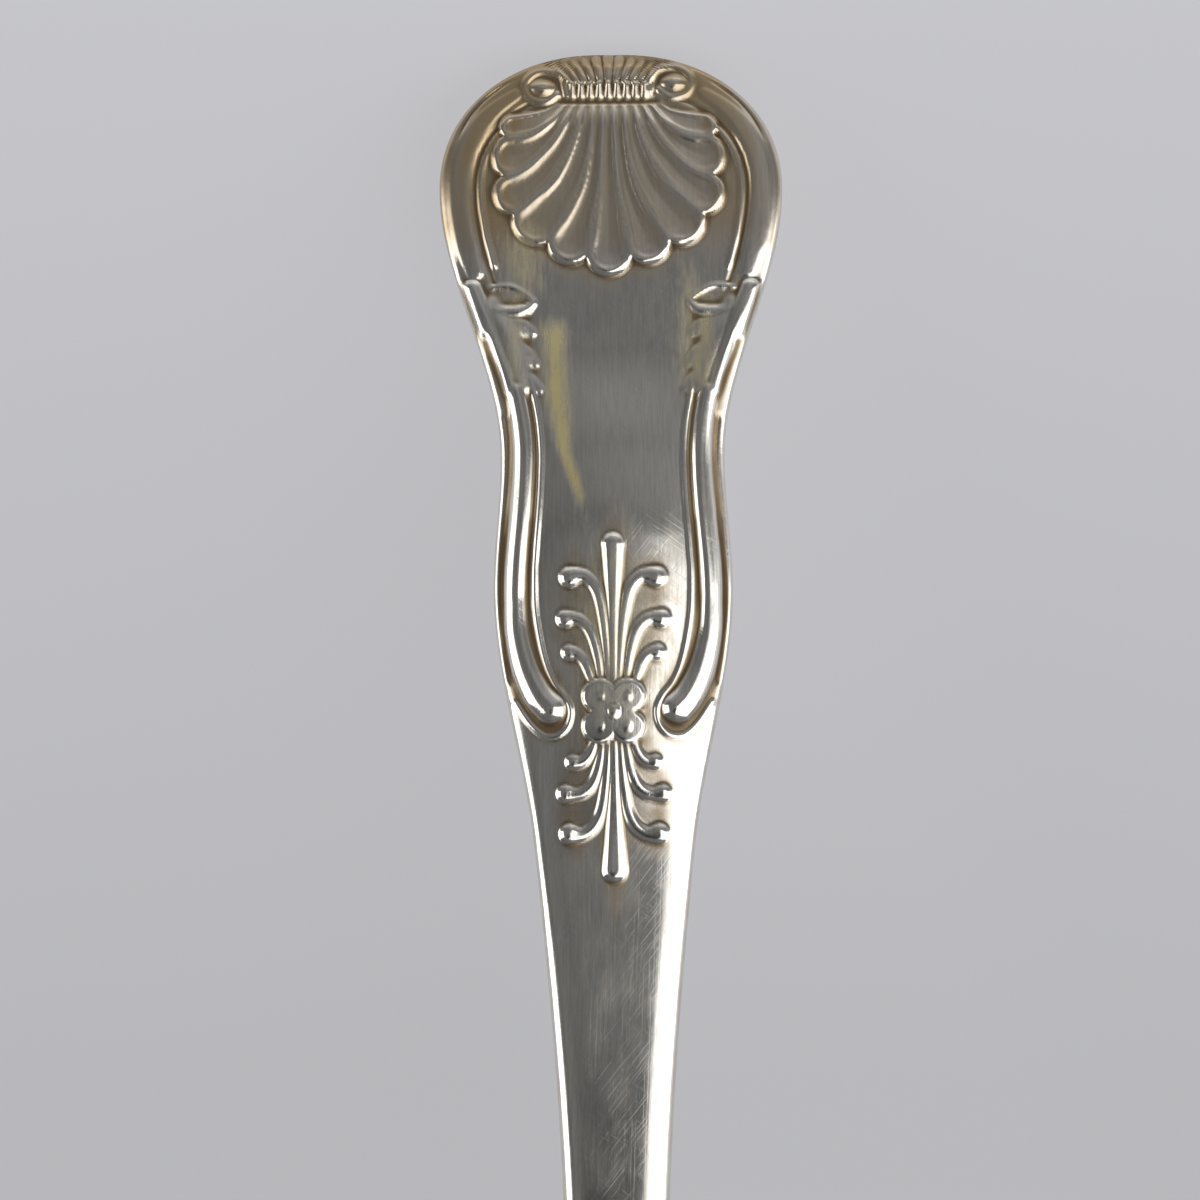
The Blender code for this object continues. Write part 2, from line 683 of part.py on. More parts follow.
def make_solder(parts, rest):
    """A fillet in the corner between the tongue's edge and the outside of the bowl."""
    across = SOLDER_RADIUS + LAP_GAP
    points = []
    for angle in np.linspace(-SOLDER_SWEEP, SOLDER_SWEEP, SOLDER_POINTS):
        x = (ROOT_WIDTH / 2 + across) * math.sin(angle)
        s = RIM_AT + (TONGUE_LENGTH + across) * arch(math.sin(angle), TONGUE_FULLNESS)
        points.append(beside_bowl(x, s))
    mesh = tube("solder_seam", points, [SOLDER_RADIUS] * len(points))
    solder = new_object("solder_seam", mesh, parts)
    solder.parent = rest
    return solder


def beside_bowl(x, s):
    """A point just outside the bowl, at a distance s along the handle's line."""
    angle = RIM_ANGLE - (s - RIM_AT) / LINE_RADIUS
    radius = BOWL_RADIUS + LAP_GAP + SOLDER_RADIUS
    reach = radius * math.sqrt(max(1 - (x / (radius * BOWL_OVAL)) ** 2, 0.0))
    return x, reach * math.sin(angle), -reach * math.cos(angle)


def resting_turn(handle, table):
    """How far the ladle tips about the bowl's centre until the handle meets the table."""
    y, z = np.array([vertex.co[1:] for vertex in handle.data.vertices]).T
    low, high = -math.pi / 4, math.pi / 4
    for _ in range(50):
        middle = (low + high) / 2
        lowest = (y * math.sin(middle) + z * math.cos(middle)).min()
        low, high = (low, middle) if lowest > table else (middle, high)
    return high


def main():
    clear_scene()
    parts = new_collection("ladle")
    cutters = new_collection("cutters")
    rest = new_object("ladle_at_rest", None, parts)
    handle = make_handle(parts, rest)
    bowl = make_bowl(parts, rest)
    solder = make_solder(parts, rest)
    drop = math.sqrt(BOWL_RADIUS ** 2 - FOOT_RADIUS ** 2)
    rest.location.z = drop
    rest.rotation_euler.x = resting_turn(handle, -drop)
    bpy.context.view_layer.update()
    cut(handle, bowl_cutter(cutters, rest))
    cut(bowl, table_cutter(cutters))
    hide(cutters)
    handle.data.materials.append(metal("struck_silver", *STRUCK_SILVER))
    bowl.data.materials.append(metal("raised_silver", *RAISED_SILVER))
    solder.data.materials.append(metal("hard_solder", *HARD_SOLDER))
    for piece in (handle, bowl, solder):
        piece.data.shade_smooth()
        piece.data.set_sharp_from_angle(angle=SHARP_ANGLE)


main()
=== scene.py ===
"""Draws a silver sauce ladle, in a shell, thread and honeysuckle pattern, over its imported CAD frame."""

import math

import bmesh
import bpy
import numpy as np
from bpy.props import FloatProperty, FloatVectorProperty, PointerProperty
from bpy.types import Operator, Panel, PropertyGroup
from mathutils import Matrix, Vector


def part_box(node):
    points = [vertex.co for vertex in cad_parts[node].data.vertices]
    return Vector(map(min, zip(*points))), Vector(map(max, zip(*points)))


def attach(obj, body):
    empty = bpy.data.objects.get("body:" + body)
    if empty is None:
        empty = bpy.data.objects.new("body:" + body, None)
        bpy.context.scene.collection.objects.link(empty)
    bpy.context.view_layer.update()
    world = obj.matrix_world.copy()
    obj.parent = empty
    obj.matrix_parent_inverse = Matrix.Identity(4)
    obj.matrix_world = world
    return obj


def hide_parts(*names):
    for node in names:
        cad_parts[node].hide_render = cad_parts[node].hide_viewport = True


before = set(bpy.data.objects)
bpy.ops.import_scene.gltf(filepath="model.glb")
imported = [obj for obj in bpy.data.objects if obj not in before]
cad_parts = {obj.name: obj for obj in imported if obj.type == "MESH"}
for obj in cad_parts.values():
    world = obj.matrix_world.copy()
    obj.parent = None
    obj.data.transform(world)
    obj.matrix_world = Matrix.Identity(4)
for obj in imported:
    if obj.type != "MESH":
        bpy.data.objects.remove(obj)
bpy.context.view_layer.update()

bl_info = {
    "name": "Silver Ladle",
    "version": (1, 0, 0),
    "blender": (4, 5, 0),
    "location": "View3D > Sidebar > Ladle",
    "description": "Models a struck silver ladle, its raised bowl and the table that it is shown on",
    "category": "Add Mesh",
}

MM = 0.001

# The side view is a run of arcs from the tip: length in millimetres and turn in degrees.
CURL = (15.0, 5.0)
SHANK = (58.0, 7.0)
SHOULDER = (45.0, 28.0)
NECK = (26.0, 64.0)
TONGUE_LENGTH = 13.0
RIM_AT = CURL[0] + SHANK[0] + SHOULDER[0] + NECK[0]
TAIL = RIM_AT + TONGUE_LENGTH

# Blank of the handle, in millimetres. A station is a distance from the tip and the value there.
WAIST_AT = 25.0
SWELL_AT = 33.2
TAPER_AT = 49.0
SHANK_AT = 70.5
STEM_AT = 108.0
TIP_ROUNDING = 1.1
HEAD_FULLNESS = 2.15
TONGUE_FULLNESS = 2.2
THICKNESSES = ((0.0, 2.2), (20.0, 2.3), (SWELL_AT, 2.4), (STEM_AT, 3.3), (RIM_AT, 2.9), (TAIL, 0.9))
# A high fullness is a flat face with a tight edge, a low one is a rounded section.
SECTION_FULLNESSES = ((0.0, 9.0), (42.0, 9.0), (58.0, 5.0), (TAIL, 3.4))
# The face rises to a crown along its middle, less where half the thickness is under the limit.
CROWNS = (
    (0.0, 0.04), (18.0, 0.08), (24.0, 0.5), (30.0, 0.86),
    (40.0, 0.76), (50.0, 0.12), (58.0, 0.0), (RIM_AT, 0.0),
)
CROWN_LIMIT = 1.0
# The tongue laps the bowl's wall, and the stem before it takes up the wall's curve.
LAP_GAP = 0.02
LAP_START = RIM_AT - 0.04
HUG_LENGTH = 8.0
FOOT_RADIUS = 4.5

# Skin of the handle: columns round its section, then runs of rows, each to a distance and at a pitch.
FLAT_END = 0.9
EDGE_HEIGHTS = (0.0, 0.22, 0.42, 0.6, 0.75, 0.86)
FRONT_COLUMNS = 174
BACK_COLUMNS = 24
CENTRE_CROWDING = 0.25
NOSE_ROWS = 14
ROW_RUNS = (
    (14.6, 0.115), (23.0, 0.15), (29.0, 0.4), (51.5, 0.135),
    (56.0, 0.5), (RIM_AT - 2.0, 2.0), (RIM_AT - 0.06, 0.5),
)
RIM_ROWS = (RIM_AT - 0.02, RIM_AT, RIM_AT + 0.3)
TONGUE_ROWS = 22
TONGUE_FIRST_TURN = 0.05
SLOPE_STEP = 1e-3
MERGE_DISTANCE = 1e-6

# Struck pattern, in millimetres. A point is how far it lies from the middle line and from the tip.
# A steepness is the slope at a bead's foot in degrees, and a wear is the share of its top rubbed off.
STRUCK_END = 54.0
JOIN_SOFTNESS = 0.07
LEAST_SOFTNESS = 1e-6
PATH_STEPS = 7
PATH_REACH = 2.5
FAR_SHARE = 9.0
# The outline is measured at points that crowd together at the blunt tip.
OUTLINE_NOSE = 1.5
OUTLINE_NOSE_POINTS = 60
OUTLINE_REST = (1.55, 60.0, 480)
POINTS_AT_ONCE = 4000

# Line of edge moulding: how far in it runs, its half width, where it starts and ends, and its points.
UPPER_REED = (1.26, 0.8, 1.5, 13.9, 16)
LOWER_EDGE_BEAD = (0.16, 0.19, 22.5, 39.0, 14)
UPPER_THREAD = (2.52, 0.2, 2.2, 13.9, 16)
LOWER_THREAD = (2.53, 0.19, 20.8, 32.0, 10)
# The upper reed thins at the volute and at the clasp: point along it, and share of its half width.
UPPER_REED_TAPER = ((0, 4, 13, 15), (0.45, 1.0, 1.0, 0.7))
UPPER_REED_STEEPNESS = 34.0
UPPER_REED_WEAR = 0.45
LOWER_REED_SPAN = (21.2, 34.0, 12)
LOWER_REED_INSETS = (1.47, 1.28)
LOWER_REED_RADII = (0.64, 0.7)
REED_STEEPNESS = 54.0
THREAD_STEEPNESS = 55.0
# A groove has a place in from the outline, a half width and a depth. A span has a start, an end and an ease.
UPPER_EDGE_GROOVE = (0.38, 0.12, 0.1)
THREAD_GROOVE = (2.2, 0.18, 0.08)
UPPER_GROOVE_SPAN = (2.0, 14.6, 1.0)
LOWER_GROOVE_SPAN = (21.2, 34.0, 1.5)
# Between the lower reed and the bead on the edge lies a sunk channel: its place by distance from the tip.
CHANNEL_PLACES = ((22.0, 34.0, 39.0), (0.6, 0.4, 0.38))
CHANNEL = (0.25, 0.1)
CHANNEL_SPAN = (22.5, 39.0, 0.4)
CLUB = ((6.02, 35.9), (5.5, 38.0), (4.72, 39.6), (3.98, 40.45))
CLUB_RADII = (0.8, 0.9, 1.0, 1.05)
THREAD_WRAP = (
    (4.78, 34.6), (4.3, 37.3), (3.72, 38.8), (3.0, 39.75), (2.66, 40.6),
    (2.84, 41.5), (3.45, 42.1), (4.3, 42.15), (5.2, 41.4), (6.1, 40.1),
)

# The die for the shell end was set a little to the left, with its left volute lower than its right.
DIE_SHIFT = -0.14
DIE_SLIP = 0.14

# Volute: an oval eye and a wire wound about it, a little rounder, by its radius and turn in degrees.
VOLUTE_AT = (4.05, 2.1)
VOLUTE_EYE = (0.9, 0.62)
VOLUTE_WIND = (
    (1.6, 200.0), (1.46, 140.0), (1.3, 80.0), (1.15, 20.0), (1.05, -40.0), (1.0, -100.0), (0.98, -150.0),
)
VOLUTE_WIRE = 0.28
VOLUTE_DOME = 1.1
WIND_ROUNDNESS = 1.18
VOLUTE_REACH = (1.3, 1.05)

# Collar between the volutes: ribs that roll over the tip, then a row of small nubs.
RIB_COUNT = 11
RIB_PITCHES = (0.8, 0.46)
RIB_END = 1.95
RIB_SPAN = (-1.0, RIB_END, 0.2)
RIB_HEIGHT = 0.15
RIB_FLATNESS = 3.0
RIB_CUT = (0.6, 1.5)
NUB_COUNT = 9
NUB_PITCH = 0.56
NUB_ENDS = (2.08, 2.8)
NUB_RADIUS = 0.26
NUB_STEEPNESS = 50.0
NUB_SLOPE = ((1.9, 3.0), (2.2, 0.6))

# Shell: the spine of each hollow lobe from the middle one outwards, and its half width there.
SHELL_LOBES = (
    (((0.0, 3.3), (0.0, 5.0), (0.0, 7.3), (0.0, 9.3), (0.0, 11.4), (0.0, 12.4)),
     (0.33, 0.37, 0.49, 0.72, 1.07, 1.32)),
    (((0.65, 3.3), (0.7, 4.9), (0.88, 6.9), (1.17, 8.5), (1.67, 10.0), (2.4, 11.75)),
     (0.31, 0.33, 0.41, 0.53, 0.76, 1.27)),
    (((1.28, 3.3), (1.47, 4.8), (1.83, 6.3), (2.32, 7.6), (2.95, 8.7), (4.45, 10.45)),
     (0.31, 0.41, 0.57, 0.72, 0.87, 1.4)),
    (((1.89, 3.35), (2.35, 4.7), (2.95, 5.9), (3.6, 6.75), (4.5, 7.75), (5.8, 8.75)),
     (0.28, 0.39, 0.53, 0.67, 0.9, 1.22)),
    (((2.43, 3.35), (3.3, 4.65), (4.2, 5.55), (5.0, 6.1), (5.85, 6.45)), (0.25, 0.36, 0.6, 0.92, 1.27)),
    (((2.95, 3.3), (3.75, 3.95), (4.8, 4.4), (5.85, 4.62)), (0.22, 0.42, 0.66, 0.75)),
)
# It rises out of a gap below the nubs. Each lobe is hollow and ends in a round rim with a steep wall.
SHELL_HEIGHT = 0.3
SHELL_ROOT = (2.95, 4.65)
SHELL_GAP_ALONG = (2.88, 3.2, 0.2)
SHELL_GAP_ACROSS = (-3.1, 3.1, 0.4)
SHELL_GAP_DEPTH = 0.1
SHELL_HOLLOWS = ((3.2, 6.0), (0.03, 0.046))
SHELL_RIDGE = 0.1
SHELL_FLANK = 0.95
SHELL_FLOOR = 0.75
SHELL_RIM = 0.44
SHELL_RIM_DROP = 0.1
# Where a lobe stands free of the next one it falls to its rim, and seams part it from the field.
SHELL_FALL = (0.12, 0.95)
SHELL_SEAM = (0.06, 0.1)
# Painted highlight: the width of the lighter line along each ridge top, as a share of the lobe's half width,
# within these limits.
SHELL_HIGHLIGHT_LINE = 0.18
SHELL_HIGHLIGHT_LINE_WIDTHS = (0.5, 1.0)

# Leaf clasp: its crest runs on into the lower reed, with a leaf and three lobes beside it and a cup above.
CLASP_CREST = (
    ((8.6, 14.6), (8.0, 16.2), (7.32, 17.9), (6.72, 19.4), (6.25, 20.8)),
    (0.64, 0.8, 0.74, 0.66, 0.6),
)
CLASP_LEAF = (((7.6, 15.8), (6.8, 17.3), (6.15, 18.9), (5.7, 20.6)), (0.9, 1.2, 1.15, 0.9))
CLASP_LEAF_STEEPNESS = 24.0
CLASP_CHANNEL = (0.6, 0.36, 0.17)
CLASP_CHANNEL_SPAN = (17.5, 21.2, 1.0)
CLASP_LOBES = (
    (((7.1, 16.9), (5.95, 16.95), (4.98, 17.3)), (0.85, 0.76, 0.34)),
    (((6.7, 18.4), (5.7, 18.65), (4.8, 19.2)), (0.9, 0.78, 0.34)),
    (((6.2, 20.0), (5.35, 20.25), (4.55, 20.8)), (0.75, 0.66, 0.32)),
)
CLASP_EDGE = (((8.4, 17.3), (7.98, 18.6), (7.62, 19.8), (7.26, 21.1)), (0.1, 0.19, 0.2, 0.2))
CLASP_LIP = (((8.3, 15.5), (6.9, 15.95), (5.5, 15.95), (4.85, 15.5)), (0.34, 0.38, 0.38, 0.22))
CLASP_RIM = (((7.6, 14.55), (6.3, 14.45), (5.3, 14.95), (4.8, 15.4)), (0.15, 0.15, 0.15, 0.16))
CLASP_STEEPNESS = 50.0
CLASP_LOBE_STEEPNESS = 40.0
CLASP_WEAR = 0.5

# Honeysuckle: a knot of discs, each with its place from the middle of the knot, radius and height.
KNOT_AT = 40.63
KNOT_DISCS = ((0.86, -0.93, 1.14, 0.2), (0.86, 0.93, 1.14, 0.2), (0.0, 0.0, 0.54, 0.26))
# The discs are flat on top, with sloped walls and a small eye in each: its radius and height.
KNOT_WALL = 0.24
KNOT_EYE = (0.34, 0.03)
KNOT_SOFTNESS = 0.03
SPUR = (((1.2, KNOT_AT), (1.8, KNOT_AT)), (0.24, 0.08))
# Petals from the middle one outwards: the spine of each from the knot to its round end, and half widths.
UPPER_PETALS = (
    (((0.0, 39.6), (0.0, 36.0), (0.0, 32.5), (0.0, 30.35)), (0.24, 0.32, 0.55, 0.72)),
    (((0.28, 39.4), (0.44, 36.8), (0.66, 34.7), (1.0, 33.2), (1.62, 32.42), (2.2, 32.3), (2.7, 32.4)),
     (0.2, 0.26, 0.34, 0.39, 0.42, 0.52, 0.67)),
    (((0.72, 39.2), (1.0, 37.2), (1.4, 35.8), (1.95, 35.1), (2.5, 34.92), (2.98, 34.97)),
     (0.2, 0.28, 0.35, 0.38, 0.43, 0.58)),
    (((1.2, 39.3), (1.5, 38.3), (1.8, 37.6), (2.25, 37.12), (2.75, 37.02)), (0.22, 0.31, 0.35, 0.38, 0.5)),
)
LOWER_PETALS = (
    (((0.0, 42.0), (0.0, 45.0), (0.0, 48.5), (0.0, 50.45)), (0.24, 0.34, 0.6, 0.78)),
    (((0.36, 42.4), (0.52, 44.6), (0.8, 46.6), (1.25, 47.65), (1.85, 48.15), (2.35, 48.25), (2.78, 48.2)),
     (0.2, 0.28, 0.34, 0.39, 0.42, 0.52, 0.67)),
    (((0.72, 42.4), (0.95, 43.9), (1.35, 45.05), (1.9, 45.6), (2.5, 45.75), (3.02, 45.72)),
     (0.2, 0.3, 0.36, 0.38, 0.43, 0.58)),
    (((1.1, 42.0), (1.35, 42.9), (1.7, 43.5), (2.15, 43.78), (2.55, 43.78)), (0.22, 0.32, 0.36, 0.39, 0.5)),
)
PETAL_STEEPNESS = 48.0
PETAL_WEAR = 0.2
PETAL_SOFTNESS = 0.12

# Films on the metal, in millimetres on the handle's plan, each with its share of full strength.
# The brown veil lies over the shell end, more in a ring about the shell and to the left.
VEIL_SPAN = (-5.0, 12.5, 4.0)
VEIL_SHARE = 0.55
VEIL_RING_AT = 7.5
VEIL_RING = (6.4, 9.0, 0.8)
VEIL_RING_SPAN = (-5.0, 11.0, 4.0)
VEIL_RING_SHARE = 0.4
VEIL_COLLAR_SPAN = (-5.0, 3.0, 0.8)
VEIL_COLLAR_SHARE = 0.1
VEIL_LEAN = 0.02
VEIL_ALL_OVER = 0.06
# The olive veil is a streak down the field, patches by the clasps and a bed under the honeysuckle.
OLIVE_STREAK_AT = (16.0, 21.4, 24.5, 27.3)
OLIVE_STREAK_MIDDLES = (-3.6, -3.35, -3.0, -2.05)
OLIVE_STREAK_HALVES = (0.9, 0.8, 0.55, 0.36)
OLIVE_STREAK_SPAN = (16.6, 27.8, 1.8)
OLIVE_STREAK_SHARE = 0.95
# A patch has a middle, a half width, a share and a span.
OLIVE_PATCHES = (
    (-5.3, 1.5, 0.55, (10.5, 15.0, 3.0)),
    (4.8, 0.9, 0.5, (13.0, 21.5, 4.0)),
    (-5.9, 0.7, 0.5, (15.0, 21.0, 2.0)),
    (5.9, 0.7, 0.5, (15.0, 21.0, 2.0)),
)
OLIVE_BED_AT = 36.0
OLIVE_BED_HALVES = (3.4, 7.0)
OLIVE_BED_SHARE = 0.42
# Tarnish stays in hollows. A reach counts rows and columns, and a depth is that of a full hollow.
HOLLOW_REACH = 4
HOLLOW_DEPTHS = ((14.0, 17.0, 21.2, 22.0, 28.0, 30.0), (0.15, 0.09, 0.1, 0.24, 0.24, 0.12))
# A halo of film lies round raised metal, with tarnish in it round the honeysuckle.
HALO_REACH = 11
HALO_DEPTH = 0.14
HALO_VEIL_SHARE = 0.9
HALO_TARNISH_SHARE = 0.55
HALO_TARNISH_SPAN = (28.5, 54.0, 1.0)
# High metal is rubbed bare, less so at the shell end. The veil is also cleared along the tops of the shell's
# ridges. This is partly rubbed metal and partly a painted highlight: a lighter line that stands for light on
# crests too fine for the mesh to catch.
RUB_SHARES = ((12.0, 16.0), (0.45, 1.0))
RUB_HEIGHT = 0.1
HIGHLIGHT_LINE_RUB = 0.8
# The edge has no tarnish: none up to this distance in, and all from twice that.
CLEAN_EDGE = 0.2
# Films in the order they settled: attribute, colour, and the field that frays the edge and how far.
# Then the shares where the film starts and is full, and how much rougher and less metallic it is.
STRUCK_FILMS = (
    ("veil", "veil", "cloud", 0.5, 0.0, 1.0, 0.12, 0.12),
    ("olive", "olive", "stroke", 1.3, 0.15, 1.0, 0.2, 0.36),
    ("recess", "amber", "cloud", 0.4, 0.1, 0.5, 0.1, 0.1),
    ("recess", "tarnish", "cloud", 0.4, 0.4, 1.0, 0.2, 0.2),
)

# Uneven fields in the struck silver: width and run of a feature in millimetres, detail and roughness.
STRUCK_FIELDS = {
    "cloud": (1.67, 3.7, 6.0, 0.62),
    "grain": (0.167, 2.5, 8.0, 0.7),
    "stroke": (0.25, 2.0, 5.0, 0.7),
    "swell": (3.33, 7.4, 2.0, 0.5),
}
DIMMED_SILVER = 0.62
SWELL_DEPTH = 0.03
# Polishing hairlines: turn in degrees, width and run in millimetres, how many show, and depth.
# Real ones are about 0.01 mm wide, too fine to show, so they are drawn ten times as wide or more.
HANDLE_HAIRLINES = ((2, 0.1, 12.0, 0.42, 0.3), (38, 0.1, 3.6, 0.4, 0.4), (-55, 0.1, 3.0, 0.4, 0.5))
BOWL_HAIRLINES = ((20, 0.18, 8.0, 0.36, 1.0), (-65, 0.18, 8.0, 0.36, 1.0))
HAIRLINE_LAYER = 2.0
HAIRLINE_EDGE = 0.06
HAIRLINE_DEPTH = 0.02
# Planishing leaves shallow flats about as wide as the hammer's blows.
BLOW_PITCH = 5.5
BLOW_DEPTH = 0.06
BOWL_FOG_SIZE = 4.0
SOLDER_PIT_SIZE = 0.625
SOLDER_PIT_DEPTH = 0.04

BOWL_SEGMENTS = 176
BOWL_RINGS = 120
LIP_SHARE = 0.48
LIP_SEGMENTS = 6
LIP_TOLERANCE = 1e-3
# Solder: how far round the tongue it runs in degrees, and how far up, under and back it goes.
SOLDER_SWEEP = 86.0
SOLDER_STEPS = 72
SOLDER_ARC_POINTS = 7
SOLDER_CLIMB = 0.7
SOLDER_TUCK = 0.06
SOLDER_BACK = 0.5

# Stage, in metres, degrees and watts. The table glows more towards the tip of the handle: painted light, a
# gradient of brightness laid into its glow and not cast by the lamps.
TABLE_HALF = 3.0
TABLE_DROP = 0.0002
TABLE_DIFFUSE = 0.2
TABLE_GLOW = ((0.085, 0.16), (0.68, 0.82))
# The camera looks straight down on a point of the face: millimetres across, from the tip and up.
VIEW_AT = (-0.82, 33.82, 1.0)
VIEW_CHORD = 12.0
VIEW_ROLL = -0.33
VIEW_DISTANCE = 0.7
VIEW_WIDTH = 0.0741
VIEW_DEPTHS = (0.01, 20.0)
SENSOR_WIDTH = 36.0
# Soft lamps: name, degrees right of and above the camera, width, height and power.
LAMP_DISTANCE = 0.8
LAMPS = (
    ("softbox_right", 41, -23, 1.08, 0.74, 3.8),
    ("softbox_far_right", 70, -10, 0.6, 0.46, 0.4),
    ("softbox_left", -66, -11, 0.62, 0.56, 1.9),
)
# Light of the room by how far up a ray goes: pale walls, a dim ceiling, darkest behind the camera.
ROOM_LIGHT = (
    (0.12, 0.26), (0.3, 0.13), (0.6, 0.11), (0.78, 0.16), (0.81, 0.15), (0.85, 0.105),
    (0.9, 0.16), (0.945, 0.15), (0.957, 0.11), (0.97, 0.055), (0.985, 0.03),
)
ROOM_TINT = (1.0, 1.01, 1.04)
# It is lighter to the right and beyond the tip: how far over a ray goes, and strength.
ROOM_RIGHT = ((-0.15, 0.15), (1.02, 1.46))
ROOM_BEYOND = ((0.6, 0.95), (1.0, 2.6))


def from_hex(text):
    """Linear red, green and blue of an sRGB colour written as hex."""
    parts = [int(text[i : i + 2], 16) / 255 for i in (1, 3, 5)]
    return tuple(p / 12.92 if p <= 0.04045 else ((p + 0.055) / 1.055) ** 2.4 for p in parts)


def length(name, description, default):
    """A size that the panel shows in the scene's length unit."""
    return FloatProperty(
        name=name, description=description, default=default * MM, unit="LENGTH", precision=5
    )


def colour(name, description, default):
    """A colour that the panel shows as a swatch."""
    return FloatVectorProperty(
        name=name, description=description, default=from_hex(default), subtype="COLOR", size=3, min=0, max=1
    )


class LadleHandle(PropertyGroup):
    """Widths of the handle's plan, from the tip to the bowl."""

    head_width: length("Head width", "Greatest width of the rounded end", 21.2)
    head_at: length("Head at", "How far from the tip the head is widest", 8.5)
    waist_width: length("Waist width", "Width between the leaf clasps and the swell", 13.85)
    swell_width: length("Swell width", "Width beside the honeysuckle", 14.8)
    taper_width: length("Taper width", "Width below the honeysuckle", 9.95)
    shank_width: length("Shank width", "Width where the stem starts", 6.65)
    stem_width: length("Stem width", "Least width of the stem", 4.8)
    root_width: length("Root width", "Width where the stem meets the bowl", 8.4)


class LadleBowl(PropertyGroup):
    """Sizes of the bowl and of the solder that holds the handle to it."""

    bowl_length: length("Length", "Bowl from front to back", 54.0)
    bowl_width: length("Width", "Bowl from side to side", 57.0)
    bowl_depth: length("Depth", "Rim to the foot", 20.0)
    wall: length("Wall", "Thickness of the sheet", 1.2)
    solder_radius: length("Solder", "Leg of the solder fillet round the tongue", 0.55)
    rest_turn: FloatProperty(
        name="Rest turn",
        description="How far the ladle leans so that its tip meets the table",
        default=math.radians(-0.744),
        subtype="ANGLE",
    )


class LadleLooks(PropertyGroup):
    """Colours of the metal, of what has settled on it and of the table."""

    silver: colour("Silver", "Bare polished silver", "#F4F0E8")
    tarnish: colour("Tarnish", "Old dark tarnish in the hollows", "#5E4830")
    amber: colour("Amber film", "Thin tarnish at the foot of the pattern", "#8A7A60")
    veil: colour("Brown veil", "Thin brown film over the shell end", "#C6AF8B")
    olive: colour("Olive veil", "Thin yellow film on the open metal", "#E6D69C")
    solder: colour("Solder", "Hard solder, greyer than the sheet", "#E2DDD2")
    table: colour("Table", "Plain pale table top", "#C9C9CD")


def arch(share, fullness):
    """Height of a superellipse at a share of its half width."""
    return np.maximum(1 - np.minimum(np.abs(share), 1.0) ** fullness, 0.0) ** (1 / fullness)


def eased(share):
    """Nought to one, with a gentle start and end."""
    share = np.clip(share, 0, 1)
    return share * share * (3 - 2 * share)


def between(at, start, end, ease):
    """One between start and end, falling to nought over the ease on both sides."""
    return eased((at - start) / ease + 0.5) * eased((end - at) / ease + 0.5)


def smooth_through(stations, at):
    """A curve through the stations that never overshoots them."""
    places = np.array([place for place, _ in stations])
    values = np.array([value for _, value in stations])
    slopes = np.diff(values) / np.diff(places)
    same_way = slopes[:-1] * slopes[1:] > 0
    totals = np.where(same_way, slopes[:-1] + slopes[1:], 1.0)
    turns = np.concatenate([[0.0], np.where(same_way, 2 * slopes[:-1] * slopes[1:] / totals, 0.0), [0.0]])
    span = np.clip(np.searchsorted(places, at) - 1, 0, len(slopes) - 1)
    run = np.diff(places)[span]
    share = np.clip((at - places[span]) / run, 0, 1)
    rise = values[span + 1] - values[span]
    ends = share * (1 - share) * ((1 - share) * turns[span] - share * turns[span + 1]) * run
    return values[span] + rise * eased(share) + ends


